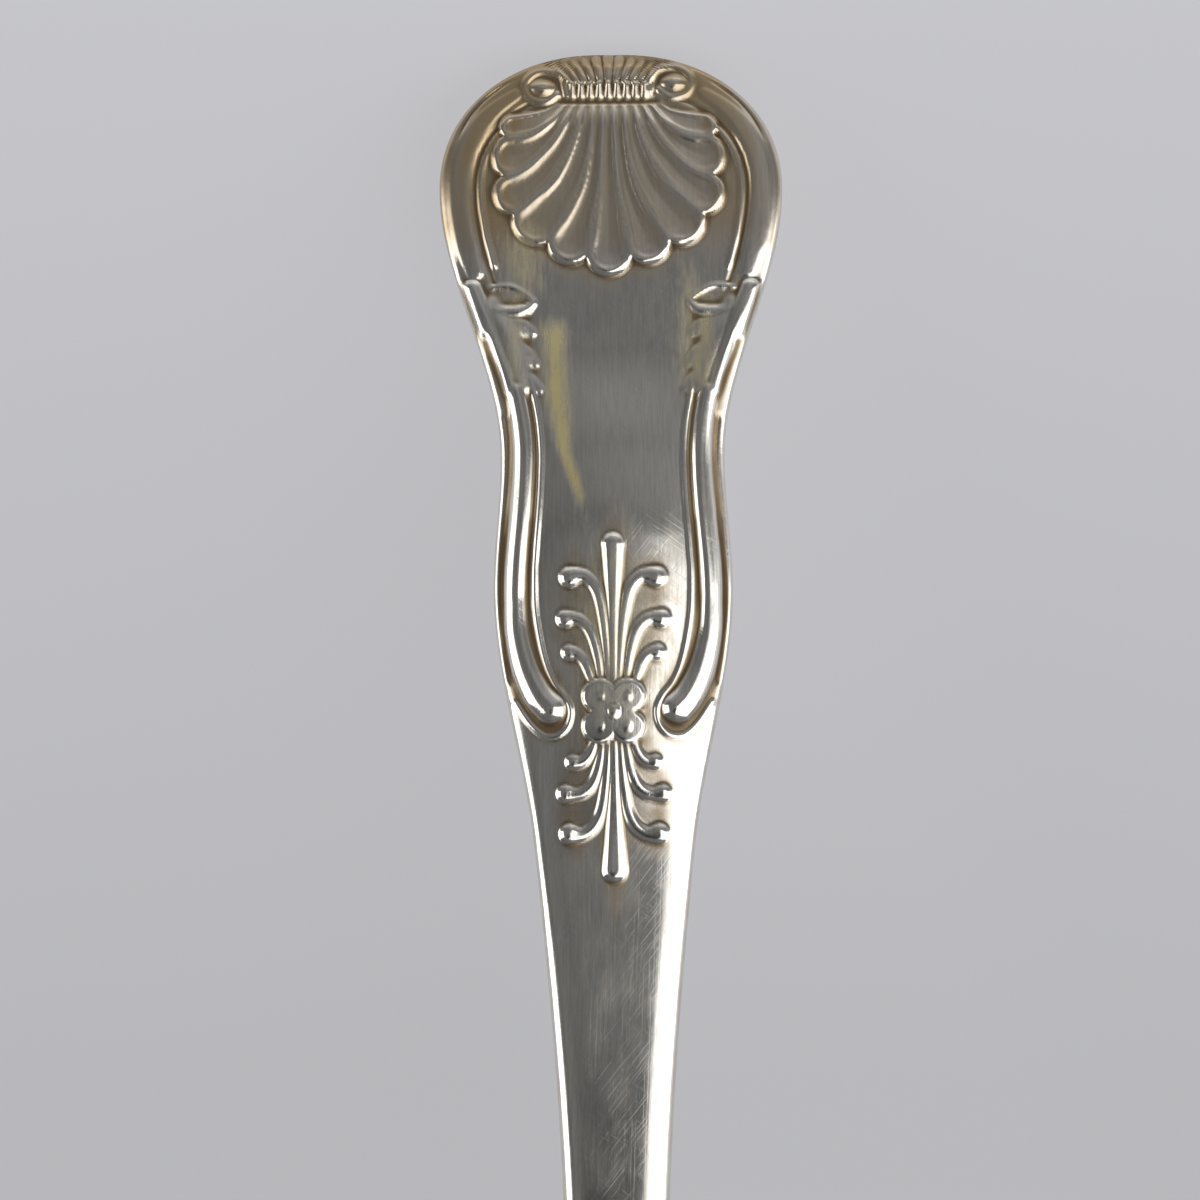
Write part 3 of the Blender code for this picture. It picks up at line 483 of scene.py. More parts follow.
class Blank:
    """The plain handle before it is struck: plan, thickness and side view, in millimetres."""

    def __init__(self, handle, bowl):
        self.head_at = handle.head_at / MM
        self.head_width = handle.head_width / MM
        self.root_width = handle.root_width / MM
        self.widths = (
            (self.head_at, self.head_width),
            (WAIST_AT, handle.waist_width / MM),
            (SWELL_AT, handle.swell_width / MM),
            (TAPER_AT, handle.taper_width / MM),
            (SHANK_AT, handle.shank_width / MM),
            (STEM_AT, handle.stem_width / MM),
            (RIM_AT, self.root_width),
        )
        half_length = bowl.bowl_length / MM / 2
        self.depth = bowl.bowl_depth / MM
        self.wall = bowl.wall / MM
        self.bowl_radius = (half_length**2 + self.depth**2) / (2 * self.depth)
        self.rim_height = self.depth - self.bowl_radius
        self.rim_angle = math.acos(-self.rim_height / self.bowl_radius)
        self.oval = bowl.bowl_width / bowl.bowl_length
        root_thickness = dict(THICKNESSES)[RIM_AT]
        self.line_radius = self.bowl_radius - self.wall + root_thickness / 2
        self.rest_turn = bowl.rest_turn

    def half_width(self, s):
        head = self.head_width / 2 * arch(1 - s / self.head_at, HEAD_FULLNESS)
        tongue = self.root_width / 2 * arch((s - RIM_AT) / TONGUE_LENGTH, TONGUE_FULLNESS)
        stem = smooth_through(self.widths, s) / 2
        return np.where(s < self.head_at, head, np.where(s > RIM_AT, tongue, stem))

    def half_thickness(self, s):
        tip = np.where(s < TIP_ROUNDING, arch(1 - s / TIP_ROUNDING, 2), 1.0)
        return tip * smooth_through(THICKNESSES, s) / 2

    def line(self, s):
        """Side view at s: forward, up and slope, from the centre that the bowl is turned about."""
        runs = (CURL, SHANK, SHOULDER, NECK)
        arcs = [(span, -math.radians(turn) / span) for span, turn in runs]
        arcs.append((TONGUE_LENGTH, 1 / self.line_radius))
        slope = sum(math.radians(turn) for _, turn in runs) - self.rim_angle
        forward = up = start = 0.0
        out = np.zeros((3, len(s)))
        for span, bend in arcs:
            rim = forward, up
            inside = (s >= start) & (s <= start + span)
            end = slope + bend * np.append(s[inside] - start, span)
            y = forward - (np.sin(end) - math.sin(slope)) / bend
            z = up + (math.cos(slope) - np.cos(end)) / bend
            out[:, inside] = y[:-1], z[:-1], end[:-1]
            forward, up, slope = y[-1], z[-1], end[-1]
            start += span
        out[0] += self.line_radius * math.sin(self.rim_angle) - rim[0]
        out[1] += -self.line_radius * math.cos(self.rim_angle) - rim[1]
        return out

    def placed(self, x, y, z):
        """Points about the bowl's centre, leaned to rest with the foot on the table, in metres."""
        lean_cos, lean_sin = math.cos(self.rest_turn), math.sin(self.rest_turn)
        lift = foot_level(self)
        return np.stack([x, y * lean_cos - z * lean_sin, y * lean_sin + z * lean_cos + lift], axis=1) * MM

    def bent(self, x, s, height):
        """Points of the flat blank bent to the side view."""
        y, z, slope = self.line(np.clip(s, 0.0, TAIL))
        over = np.minimum(s, 0.0)
        y = y + height * np.sin(slope) - over * np.cos(slope)
        z = z + height * np.cos(slope) + over * np.sin(slope)
        return self.placed(x, y, z)

    def lap(self, x):
        """Height over the side view at which the tongue meets the bowl's wall."""
        return self.line_radius - np.sqrt((self.bowl_radius + LAP_GAP) ** 2 - (x / self.oval) ** 2)


def foot_level(blank):
    """How high the bowl's centre stands above the table, with the foot filed flat."""
    box_low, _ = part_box("bowl")
    return math.sqrt(blank.bowl_radius**2 - FOOT_RADIUS**2) + box_low[2] / MM


def soft_max(first, second, softness=JOIN_SOFTNESS):
    """The higher of two heights, with the corner between them eased."""
    ease = np.maximum(softness - np.abs(first - second), 0) / softness
    return np.maximum(first, second) + ease * ease * softness / 4


def smooth_path(points, radii):
    """A curve through the points, cut into short steps, with the radius eased along it."""
    rows = np.column_stack([points, radii]).astype(float)
    padded = np.vstack([2 * rows[0] - rows[1], rows, 2 * rows[-1] - rows[-2]])
    out = []
    for a, b, c, d in zip(padded, padded[1:], padded[2:], padded[3:]):
        square = 2 * a - 5 * b + 4 * c - d
        cube = 3 * b - a - 3 * c + d
        for t in np.arange(PATH_STEPS) / PATH_STEPS:
            out.append(b + ((c - a) * t + square * t**2 + cube * t**3) / 2)
    out.append(rows[-1])
    return np.array(out)


def nearest(x, s, path):
    """For each point: distance to the path over the path's half width there, and that half width."""
    share = np.full(len(x), FAR_SHARE)
    width = np.ones(len(x))
    reach = path[:, 2].max() * PATH_REACH
    low = path[:, :2].min(axis=0) - reach
    high = path[:, :2].max(axis=0) + reach
    chosen = np.flatnonzero((x >= low[0]) & (x <= high[0]) & (s >= low[1]) & (s <= high[1]))
    px, ps = x[chosen], s[chosen]
    best = share[chosen]
    best_width = width[chosen]
    for (ax, ay, ar), (bx, by, br) in zip(path, path[1:]):
        run = (bx - ax) ** 2 + (by - ay) ** 2
        t = np.clip(((px - ax) * (bx - ax) + (ps - ay) * (by - ay)) / run, 0, 1)
        radius = ar + t * (br - ar)
        ratio = np.hypot(px - ax - t * (bx - ax), ps - ay - t * (by - ay)) / radius
        closer = ratio < best
        best = np.where(closer, ratio, best)
        best_width = np.where(closer, radius, best_width)
    share[chosen] = best
    width[chosen] = best_width
    return share, width


def rounded(share, width, steepness, wear=0.0):
    """Height of a round bead, worn flat on top and below the field outside its sides."""
    curve = 1 / math.sin(math.radians(steepness))
    inside = np.clip(share, 0, 1)
    foot = math.sqrt(curve**2 - 1)
    dome = np.sqrt(curve**2 - inside**2) - foot
    top = curve - foot
    dome = -soft_max(-dome, np.full_like(dome, (wear - 1) * top), wear * top + LEAST_SOFTNESS)
    return width * (dome - np.maximum(share - 1, 0) / foot)


def bead(x, s, points, radii, steepness, wear=0.0):
    """Height of a bead along a path."""
    share, width = nearest(x, s, smooth_path(points, radii))
    return rounded(share, width, steepness, wear)


def inset_points(blank, inset, start, end, count):
    """Points that follow the outline at a fixed distance inside it."""
    s = np.linspace(start, end, count)
    lean = (blank.half_width(s + SLOPE_STEP) - blank.half_width(s - SLOPE_STEP)) / (2 * SLOPE_STEP)
    norm = np.hypot(1, lean)
    return list(zip(blank.half_width(s) - inset / norm, s + inset * lean / norm))


def even_bead(blank, x, s, line, steepness, tail=()):
    """Height of a bead of one width that follows the outline and then the points of its tail."""
    inset, radius, start, end, count = line
    points = inset_points(blank, inset, start, end, count) + list(tail)
    return bead(x, s, points, [radius] * len(points), steepness)


def groove(edge, place, half, depth):
    """Depth of a round groove at a distance from the outline."""
    return depth * np.clip(1 - ((edge - place) / half) ** 2, 0, 1)


def outline_distance(blank, x, s):
    """Distance of each point inside the plan from the outline."""
    nose = np.linspace(0, OUTLINE_NOSE, OUTLINE_NOSE_POINTS) ** 2 / OUTLINE_NOSE
    along = np.concatenate([nose, np.linspace(*OUTLINE_REST)])
    edge = np.column_stack([blank.half_width(along), along])
    out = np.empty(len(x))
    for first in range(0, len(x), POINTS_AT_ONCE):
        part = slice(first, first + POINTS_AT_ONCE)
        gaps = np.hypot(x[part, None] - edge[None, :, 0], s[part, None] - edge[None, :, 1])
        out[part] = gaps.min(axis=1)
    return out


def mouldings(blank, x, s, edge):
    """Reeds, threads and the grooves between them along both edges."""
    inset, radius, start, end, count = UPPER_REED
    upper = inset_points(blank, inset, start, end, count)
    tapered = radius * np.interp(np.arange(count), *UPPER_REED_TAPER)
    start, end, count = LOWER_REED_SPAN
    lower = inset_points(blank, np.linspace(*LOWER_REED_INSETS, count), start, end, count) + list(CLUB)
    radii = list(np.linspace(*LOWER_REED_RADII, count)) + list(CLUB_RADII)
    height = np.zeros(len(x))
    for drawn in (
        bead(x, s, upper, tapered, UPPER_REED_STEEPNESS, UPPER_REED_WEAR),
        bead(x, s, lower, radii, REED_STEEPNESS),
        even_bead(blank, x, s, LOWER_EDGE_BEAD, REED_STEEPNESS),
        even_bead(blank, x, s, UPPER_THREAD, THREAD_STEEPNESS),
        even_bead(blank, x, s, LOWER_THREAD, THREAD_STEEPNESS, THREAD_WRAP),
    ):
        height = soft_max(height, drawn)
    upper_span = between(s, *UPPER_GROOVE_SPAN)
    height -= upper_span * groove(edge, *UPPER_EDGE_GROOVE)
    height -= between(s, *CHANNEL_SPAN) * groove(edge, np.interp(s, *CHANNEL_PLACES), *CHANNEL)
    return height - (upper_span + between(s, *LOWER_GROOVE_SPAN)) * groove(edge, *THREAD_GROOVE)


def volutes(x, s):
    """Oval eye and wound wire at the start of each upper reed."""
    across, along = VOLUTE_AT
    wide, tall = VOLUTE_EYE
    height = rounded(np.hypot((x - across) / wide, (s - along) / tall), tall * VOLUTE_DOME, PETAL_STEEPNESS)
    squash = tall / wide * WIND_ROUNDNESS
    wind = []
    for radius, turn in VOLUTE_WIND:
        angle = math.radians(turn)
        wind.append((across + radius * math.cos(angle), along - squash * radius * math.sin(angle)))
    return soft_max(height, bead(x, s, wind, [VOLUTE_WIRE] * len(wind), PETAL_STEEPNESS))


def collar(x, s):
    """Ribs over the tip and the row of nubs below them."""
    pitch = np.interp(s, (0.0, RIB_END), RIB_PITCHES)
    place = x / pitch
    offset = np.abs(place - np.round(place)) * 2
    clear = np.hypot((x - VOLUTE_AT[0]) / VOLUTE_REACH[0], (s - VOLUTE_AT[1]) / VOLUTE_REACH[1]) > 1
    inside = np.where(clear & (place < RIB_COUNT / 2), 1.0, 0.0)
    cut = np.clip((RIB_CUT[1] - s) / (RIB_CUT[1] - RIB_CUT[0]), 0, 1)
    ribs = RIB_HEIGHT * (1 - offset**RIB_FLATNESS - cut) * inside * between(s, *RIB_SPAN)
    ribs -= SHELL_GAP_DEPTH * between(s, *SHELL_GAP_ALONG) * between(x, *SHELL_GAP_ACROSS)
    nub = np.minimum(np.round(x / NUB_PITCH), NUB_COUNT // 2) * NUB_PITCH
    along = np.clip(s, *NUB_ENDS)
    share = np.hypot(x - nub, s - along) / NUB_RADIUS
    return ribs, rounded(share, NUB_RADIUS, NUB_STEEPNESS) * np.interp(s, *NUB_SLOPE)


def shell(x, s):
    """Fan of hollow lobes: its height, and where a painted highlight runs as a thin line along the top of
    each ridge.
    """
    lobes = [nearest(x, s, smooth_path(points, radii)) for points, radii in SHELL_LOBES]
    shares = np.array([share for share, _ in lobes])
    widths = np.array([width for _, width in lobes])
    order = np.argsort(shares, axis=0)
    first, second = (np.take_along_axis(shares, order[[rank]], 0)[0] for rank in (0, 1))
    width = np.take_along_axis(widths, order[[0]], 0)[0]
    free_end = eased((second - first - SHELL_FALL[0]) / SHELL_FALL[1])
    to_ridge = (second - first) / 2 * width
    to_end = (1 - first) * width
    rim_width = SHELL_RIM * np.minimum(width, 1)
    to_hollow = np.maximum(to_end - rim_width * free_end, 0)
    inside = np.hypot(np.minimum(to_ridge, to_hollow), SHELL_RIDGE) - SHELL_RIDGE
    flank = 1 - np.clip(inside / (width * SHELL_FLANK), 0, 1)
    hollow = np.interp(s, *SHELL_HOLLOWS) * (1 - flank**2)
    rim = 2 * np.minimum(to_end, rim_width) / rim_width - 1
    apart = np.clip((-to_end - SHELL_SEAM[0]) / SHELL_SEAM[1], 0, 1)
    curve = np.where(rim > 0, SHELL_FLOOR * rim * rim, np.where(rim > -1, rim * rim, -1 - 2 * rim))
    drop = SHELL_RIM_DROP * curve * np.maximum(free_end, apart)
    ramp = np.clip((s - SHELL_ROOT[0]) / (SHELL_ROOT[1] - SHELL_ROOT[0]), 0, 1)
    height = SHELL_HEIGHT - (SHELL_HEIGHT + SHELL_GAP_DEPTH) * (1 - ramp) ** 2 - hollow - drop
    # Painted highlight: a thin line along each ridge top, where the veil is later cleared.
    line = np.clip(1 - to_ridge / (SHELL_HIGHLIGHT_LINE * np.clip(width, *SHELL_HIGHLIGHT_LINE_WIDTHS)), 0, 1)
    return height, line * ramp * (first < 1)


def clasps(x, s, edge):
    """Leaf that grips the reeds where the upper scroll ends and the lower one starts."""
    height = np.full(len(x), -1.0)
    for points, radii in CLASP_LOBES:
        height = soft_max(height, bead(x, s, points, radii, CLASP_LOBE_STEEPNESS, CLASP_WEAR))
    height = soft_max(height, bead(x, s, *CLASP_LEAF, CLASP_LEAF_STEEPNESS))
    for points, radii in (CLASP_CREST, CLASP_EDGE, CLASP_LIP, CLASP_RIM):
        height = soft_max(height, bead(x, s, points, radii, CLASP_STEEPNESS))
    return height - between(s, *CLASP_CHANNEL_SPAN) * groove(edge, *CLASP_CHANNEL)


def honeysuckle(x, s):
    """Petals with round ends above and below a knot of four discs about a fifth."""
    height = np.full(len(x), -1.0)
    for points, radii in UPPER_PETALS + LOWER_PETALS + (SPUR,):
        height = soft_max(height, bead(x, s, points, radii, PETAL_STEEPNESS, PETAL_WEAR))
    reach, bulge = KNOT_EYE
    for across, along, radius, level in KNOT_DISCS:
        away = np.hypot(x - across, s - KNOT_AT - along)
        wall = np.clip((radius - away) / KNOT_WALL, -1, 1)
        disc = level * wall * (2 - np.abs(wall)) + bulge * np.maximum(1 - (away / reach) ** 2, 0)
        height = soft_max(height, disc, KNOT_SOFTNESS)
    return height


def relief(blank, x, s):
    """Height of the struck pattern over the blank's face, and the painted highlight lines along the shell's
    ridges.
    """
    height = np.zeros(len(x))
    lines = np.zeros(len(x))
    struck = np.flatnonzero(s < STRUCK_END)
    ps = s[struck]
    px = np.abs(x[struck])
    set_x = np.abs(x[struck] - DIE_SHIFT)
    edge = outline_distance(blank, px, ps)
    pattern = mouldings(blank, px, ps, edge)
    ribs, nubs = collar(set_x, ps)
    fan, lines[struck] = shell(set_x, ps)
    wound = volutes(set_x, ps + DIE_SLIP * np.sign(x[struck]))
    for drawn in (wound, fan, nubs, clasps(px, ps, edge)):
        pattern = soft_max(pattern, drawn)
    height[struck] = soft_max(pattern, honeysuckle(px, ps), PETAL_SOFTNESS) + ribs
    return height, lines


def row_places():
    """Distances of the skin's rows from the tip: close where it is struck, open where it is plain."""
    runs = [TIP_ROUNDING * (1 - np.cos(np.linspace(0, math.pi / 2, NOSE_ROWS)))]
    start = TIP_ROUNDING
    for end, pitch in ROW_RUNS:
        count = max(round((end - start) / pitch), 1)
        runs.append(np.linspace(start, end, count + 1)[1:])
        start = end
    runs.append(RIM_ROWS)
    runs.append(RIM_AT + TONGUE_LENGTH * np.sin(np.linspace(TONGUE_FIRST_TURN, math.pi / 2, TONGUE_ROWS)))
    return np.concatenate(runs)


def column_places():
    """Columns round the section: side, share of the edge's height, face, and share of the flat or nan."""
    columns = []
    for face, count in ((1, FRONT_COLUMNS), (-1, BACK_COLUMNS)):
        for height in EDGE_HEIGHTS:
            columns.append((-face, height, face, np.nan))
        for share in np.linspace(-1, 1, count + 1):
            crowded = (1 + CENTRE_CROWDING) * share - CENTRE_CROWDING * math.sin(math.pi * share / 2)
            columns.append((face * np.sign(share), FLAT_END, face, face * crowded))
        for height in EDGE_HEIGHTS[:0:-1]:
            columns.append((face, height, face, np.nan))
    columns.append(columns[0])
    return np.array(columns).T


def handle_skin(blank):
    """Skin by row and column: across, along, up, relief, painted highlight lines on the shell's ridges, and
    nought at the edge.
    """
    rows = row_places()
    side, edge_height, face, flat_share = column_places()
    s = np.repeat(rows[:, None], len(side), axis=1)
    half = blank.half_width(rows)[:, None]
    thick = blank.half_thickness(rows)[:, None]
    fullness = smooth_through(SECTION_FULLNESSES, rows)[:, None]
    on_edge = side * arch(edge_height, fullness)
    on_flat = arch(FLAT_END, fullness) * np.nan_to_num(flat_share)
    across = np.where(np.isnan(flat_share), on_edge, on_flat)
    x = half * across
    base = thick * arch(across, fullness)
    crown = smooth_through(CROWNS, rows)[:, None] * np.minimum(thick, CROWN_LIMIT)
    crown = crown * (1 - across**2) * (face > 0)
    struck, lines = (part.reshape(x.shape) for part in relief(blank, x.ravel(), s.ravel()))
    struck = np.where(np.isnan(flat_share) | (face < 0), 0.0, struck)
    lean = blank.half_thickness(rows + SLOPE_STEP) - blank.half_thickness(np.maximum(rows - SLOPE_STEP, 0))
    lean = np.where(rows < TIP_ROUNDING, lean / (2 * SLOPE_STEP), 0)[:, None]
    norm = np.hypot(1, lean)
    height = face * (base + crown + struck / norm)
    moved = s - struck * lean / norm
    lap = blank.lap(x)
    middle = len(EDGE_HEIGHTS) + FRONT_COLUMNS // 2
    height = height + np.clip((s - RIM_AT) / HUG_LENGTH + 1, 0, 1) ** 2 * (lap - lap[:, [middle]])
    height = np.where((s > LAP_START) & (face > 0), np.minimum(height, lap), height)
    inner = np.clip((half - np.abs(x)) / CLEAN_EDGE - 1, 0, 1)
    return x, moved, height, struck, lines, inner


def brown_veil(x, s):
    """Share of brown film: over the shell end, thickest in the field about the shell and on the left."""
    ring = between(np.hypot(x, s - VEIL_RING_AT), *VEIL_RING) * between(s, *VEIL_RING_SPAN)
    share = VEIL_SHARE + VEIL_RING_SHARE * ring + VEIL_COLLAR_SHARE * between(s, *VEIL_COLLAR_SPAN)
    return between(s, *VEIL_SPAN) * np.clip(share - VEIL_LEAN * x, 0, 1) + VEIL_ALL_OVER


def olive_veil(x, s):
    """Share of yellow film: a streak down the left of the field, patches by the clasps, and a bed."""
    middle = np.interp(s, OLIVE_STREAK_AT, OLIVE_STREAK_MIDDLES)
    half = np.interp(s, OLIVE_STREAK_AT, OLIVE_STREAK_HALVES)
    share = OLIVE_STREAK_SHARE * np.exp(-(((x - middle) / half) ** 2)) * between(s, *OLIVE_STREAK_SPAN)
    for middle, half, strength, span in OLIVE_PATCHES:
        share += strength * np.exp(-(((x - middle) / half) ** 2)) * between(s, *span)
    wide, tall = OLIVE_BED_HALVES
    bed = np.exp(-((x / wide) ** 2) - ((s - OLIVE_BED_AT) / tall) ** 2)
    return np.clip(share + OLIVE_BED_SHARE * bed, 0, 1)


def blurred(values, reach):
    """Values averaged over a square of neighbours."""
    span = 2 * reach + 1
    for axis in (0, 1):
        pads = [(0, 0), (0, 0)]
        pads[axis] = (reach + 1, reach)
        sums = np.cumsum(np.pad(values, pads, mode="edge"), axis)
        size = values.shape[axis]
        values = (sums.take(range(span, span + size), axis) - sums.take(range(size), axis)) / span
    return values


def handle_films(x, s, struck, lines, inner):
    """Shares of tarnish in the hollows and of both veils, with none where high metal is rubbed bare, and
    less veil along the shell's ridge tops as a painted highlight.
    """
    nearby = blurred(struck, HOLLOW_REACH)
    hollow = inner * np.clip((nearby - struck) / np.interp(s, *HOLLOW_DEPTHS), 0, 1)
    halo = inner * np.clip((blurred(struck, HALO_REACH) - struck) / HALO_DEPTH, 0, 1)
    worn = 1 - np.interp(s, *RUB_SHARES) * np.clip((struck - nearby) / RUB_HEIGHT, 0, 1)
    return {
        "recess": np.maximum(hollow, HALO_TARNISH_SHARE * halo * between(s, *HALO_TARNISH_SPAN)),
        # Painted highlight: the veil thins along the shell's ridge tops, so that a lighter line stands for
        # light on their crests.
        "veil": np.maximum(worn * (1 - HIGHLIGHT_LINE_RUB * lines) * brown_veil(x, s), HALO_VEIL_SHARE * halo),
        "olive": worn * olive_veil(x, s),
    }


def sheet(columns, rows):
    """A grid to bend to shape, with the column and the row of each of its vertices."""
    bm = bmesh.new()
    bmesh.ops.create_grid(bm, x_segments=columns, y_segments=rows, size=0.5)
    places = np.array([vertex.co[:2] for vertex in bm.verts]) + 0.5
    column, row = np.rint(places * (columns, rows)).astype(int).T
    return bm, column, row


def smooth_faces(bm):
    """Turns every face outwards and shades it smoothly."""
    bmesh.ops.recalc_face_normals(bm, faces=bm.faces[:])
    for face in bm.faces:
        face.smooth = True


def finished(context, bm, name, material, node):
    """Puts a finished mesh in the scene as the visible form of a CAD node."""
    if not bm.faces:
        raise RuntimeError(f"{name} came out empty")
    mesh = bpy.data.meshes.new(name)
    bm.to_mesh(mesh)
    bm.free()
    mesh.materials.append(material)
    piece = bpy.data.objects.new(name, mesh)
    context.scene.collection.objects.link(piece)
    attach(piece, "root")
    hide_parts(node)


def add_node(tree, kind, settings=None, **inputs):
    """Adds a node, with its settings, and a value or link for each input by name, or as in and a number."""
    node = tree.nodes.new(kind)
    for key, value in (settings or {}).items():
        setattr(node, key, value)
    for key, value in inputs.items():
        socket = node.inputs[int(key[2:]) if key[2:].isdigit() else key.replace("_", " ")]
        if isinstance(value, bpy.types.NodeSocket):
            tree.links.new(value, socket)
        else:
            socket.default_value = value
    return node


def new_material(name):
    """A new material, its node tree and its Principled shader."""
    material = bpy.data.materials.new(name)
    material.use_nodes = True
    tree = material.node_tree
    return material, tree, tree.nodes["Principled BSDF"]


def hairlines(tree, place, ways):
    """Sparse scratches that run several ways, as the sum of their depths."""
    lines = 0.0
    for turn, width, run, share, depth in ways:
        laid = add_node(
            tree, "ShaderNodeMapping", {"vector_type": "TEXTURE"},
            Vector=place, Rotation=(0, 0, math.radians(turn)), Scale=(width, run, HAIRLINE_LAYER),
        )
        noise = add_node(tree, "ShaderNodeTexNoise", Vector=laid.outputs[0], Scale=1.0, Detail=1.0)
        shown = add_node(
            tree, "ShaderNodeMapRange",
            Value=noise.outputs[0], From_Min=1 - share, From_Max=1 + HAIRLINE_EDGE - share,
        )
        deeper = add_node(
            tree, "ShaderNodeMath", {"operation": "MULTIPLY_ADD"}, in0=shown.outputs[0], in1=depth, in2=lines
        )
        lines = deeper.outputs[0]
    return lines


def uneven_fields(tree, plan):
    """Noise drawn out along the handle, by the name of what it makes uneven."""
    fields = {}
    for name, (width, run, detail, roughness) in STRUCK_FIELDS.items():
        laid = add_node(
            tree, "ShaderNodeMapping", {"vector_type": "TEXTURE"}, Vector=plan, Scale=(width, run, 1)
        )
        noise = add_node(
            tree, "ShaderNodeTexNoise", Vector=laid.outputs[0], Scale=1.0, Detail=detail, Roughness=roughness
        )
        fields[name] = noise.outputs[0]
    return fields


def settled_films(tree, looks, fields, tint, rough):
    """Lays the films over the silver one by one. Gives its tint, its roughness and its share of metal."""
    shine = 1.0
    for name, film, edge, fray, thin, full, dulled, matte in STRUCK_FILMS:
        amount = add_node(tree, "ShaderNodeAttribute", {"attribute_name": name}).outputs["Fac"]
        frayed = add_node(
            tree, "ShaderNodeMath", {"operation": "MULTIPLY_ADD"}, in0=fields[edge], in1=fray, in2=amount
        )
        laid = add_node(
            tree, "ShaderNodeMapRange",
            Value=frayed.outputs[0], From_Min=thin + fray / 2, From_Max=full + fray / 2,
        ).outputs[0]
        mix = add_node(
            tree, "ShaderNodeMix", {"data_type": "RGBA"}, in0=laid, in6=tint, in7=(*getattr(looks, film), 1)
        )
        tint = mix.outputs[2]
        dull = add_node(
            tree, "ShaderNodeMath", {"operation": "MULTIPLY_ADD"}, in0=laid, in1=dulled, in2=rough
        )
        rough = dull.outputs[0]
        bare = add_node(
            tree, "ShaderNodeMath", {"operation": "MULTIPLY_ADD"}, in0=laid, in1=-matte, in2=shine
        )
        shine = bare.outputs[0]
    return tint, rough, shine


def struck_silver(looks):
    """Die-struck, hand-finished silver: bright on high metal, brown where polish never reaches."""
    material, tree, shader = new_material("silver_die_struck_and_polished")
    plan = add_node(tree, "ShaderNodeUVMap", {"uv_map": "plan_mm"}).outputs[0]
    fields = uneven_fields(tree, plan)
    bloom = add_node(
        tree, "ShaderNodeMapRange", Value=fields["grain"], From_Min=0.42, From_Max=0.62, To_Max=0.36
    )
    dimmed = (*(DIMMED_SILVER * part for part in looks.silver), 1)
    silver = add_node(
        tree, "ShaderNodeMix", {"data_type": "RGBA"},
        in0=bloom.outputs[0], in6=(*looks.silver, 1), in7=dimmed,
    )
    dulling = add_node(
        tree, "ShaderNodeMapRange",
        Value=fields["cloud"], From_Min=0.3, From_Max=0.7, To_Min=0.09, To_Max=0.16,
    )
    tint, rough, shine = settled_films(tree, looks, fields, silver.outputs[2], dulling.outputs[0])
    uneven = add_node(
        tree, "ShaderNodeBump", Strength=0.25, Distance=SWELL_DEPTH * MM, Height=fields["swell"]
    )
    lined = add_node(
        tree, "ShaderNodeBump", {"invert": True}, Strength=0.09, Distance=HAIRLINE_DEPTH * MM,
        Height=hairlines(tree, plan, HANDLE_HAIRLINES), Normal=uneven.outputs[0],
    )
    tree.links.new(tint, shader.inputs["Base Color"])
    tree.links.new(rough, shader.inputs["Roughness"])
    tree.links.new(shine, shader.inputs["Metallic"])
    tree.links.new(lined.outputs[0], shader.inputs["Normal"])
    return material


def raised_silver(looks):
    """Sheet raised with a hammer, planished and polished: long reflections with a slight wave in them."""
    material, tree, shader = new_material("silver_sheet_raised_and_polished")
    in_metres = add_node(tree, "ShaderNodeTexCoord").outputs["Object"]
    place = add_node(tree, "ShaderNodeMapping", Vector=in_metres, Scale=(1 / MM, 1 / MM, 1 / MM)).outputs[0]
    blows = add_node(
        tree, "ShaderNodeTexVoronoi", {"feature": "SMOOTH_F1"},
        Vector=place, Scale=1 / BLOW_PITCH, Smoothness=1.0,
    )
    planished = add_node(
        tree, "ShaderNodeBump", Strength=0.5, Distance=BLOW_DEPTH * MM, Height=blows.outputs[0]
    )
    lined = add_node(
        tree, "ShaderNodeBump", {"invert": True}, Strength=0.08, Distance=HAIRLINE_DEPTH * MM,
        Height=hairlines(tree, place, BOWL_HAIRLINES), Normal=planished.outputs[0],
    )
    fog = add_node(
        tree, "ShaderNodeTexNoise", Vector=place, Scale=1 / BOWL_FOG_SIZE, Detail=6.0, Roughness=0.6
    ).outputs[0]
    dulling = add_node(
        tree, "ShaderNodeMapRange", Value=fog, From_Min=0.3, From_Max=0.7, To_Min=0.1, To_Max=0.2
    )
    veiled = add_node(tree, "ShaderNodeMapRange", Value=fog, From_Min=0.45, From_Max=0.75, To_Max=0.3)
    tint = add_node(
        tree, "ShaderNodeMix", {"data_type": "RGBA"},
        in0=veiled.outputs[0], in6=(*looks.silver, 1), in7=(*looks.olive, 1),
    )
    tree.links.new(tint.outputs[2], shader.inputs["Base Color"])
    tree.links.new(dulling.outputs[0], shader.inputs["Roughness"])
    tree.links.new(lined.outputs[0], shader.inputs["Normal"])
    shader.inputs["Metallic"].default_value = 1.0
    return material


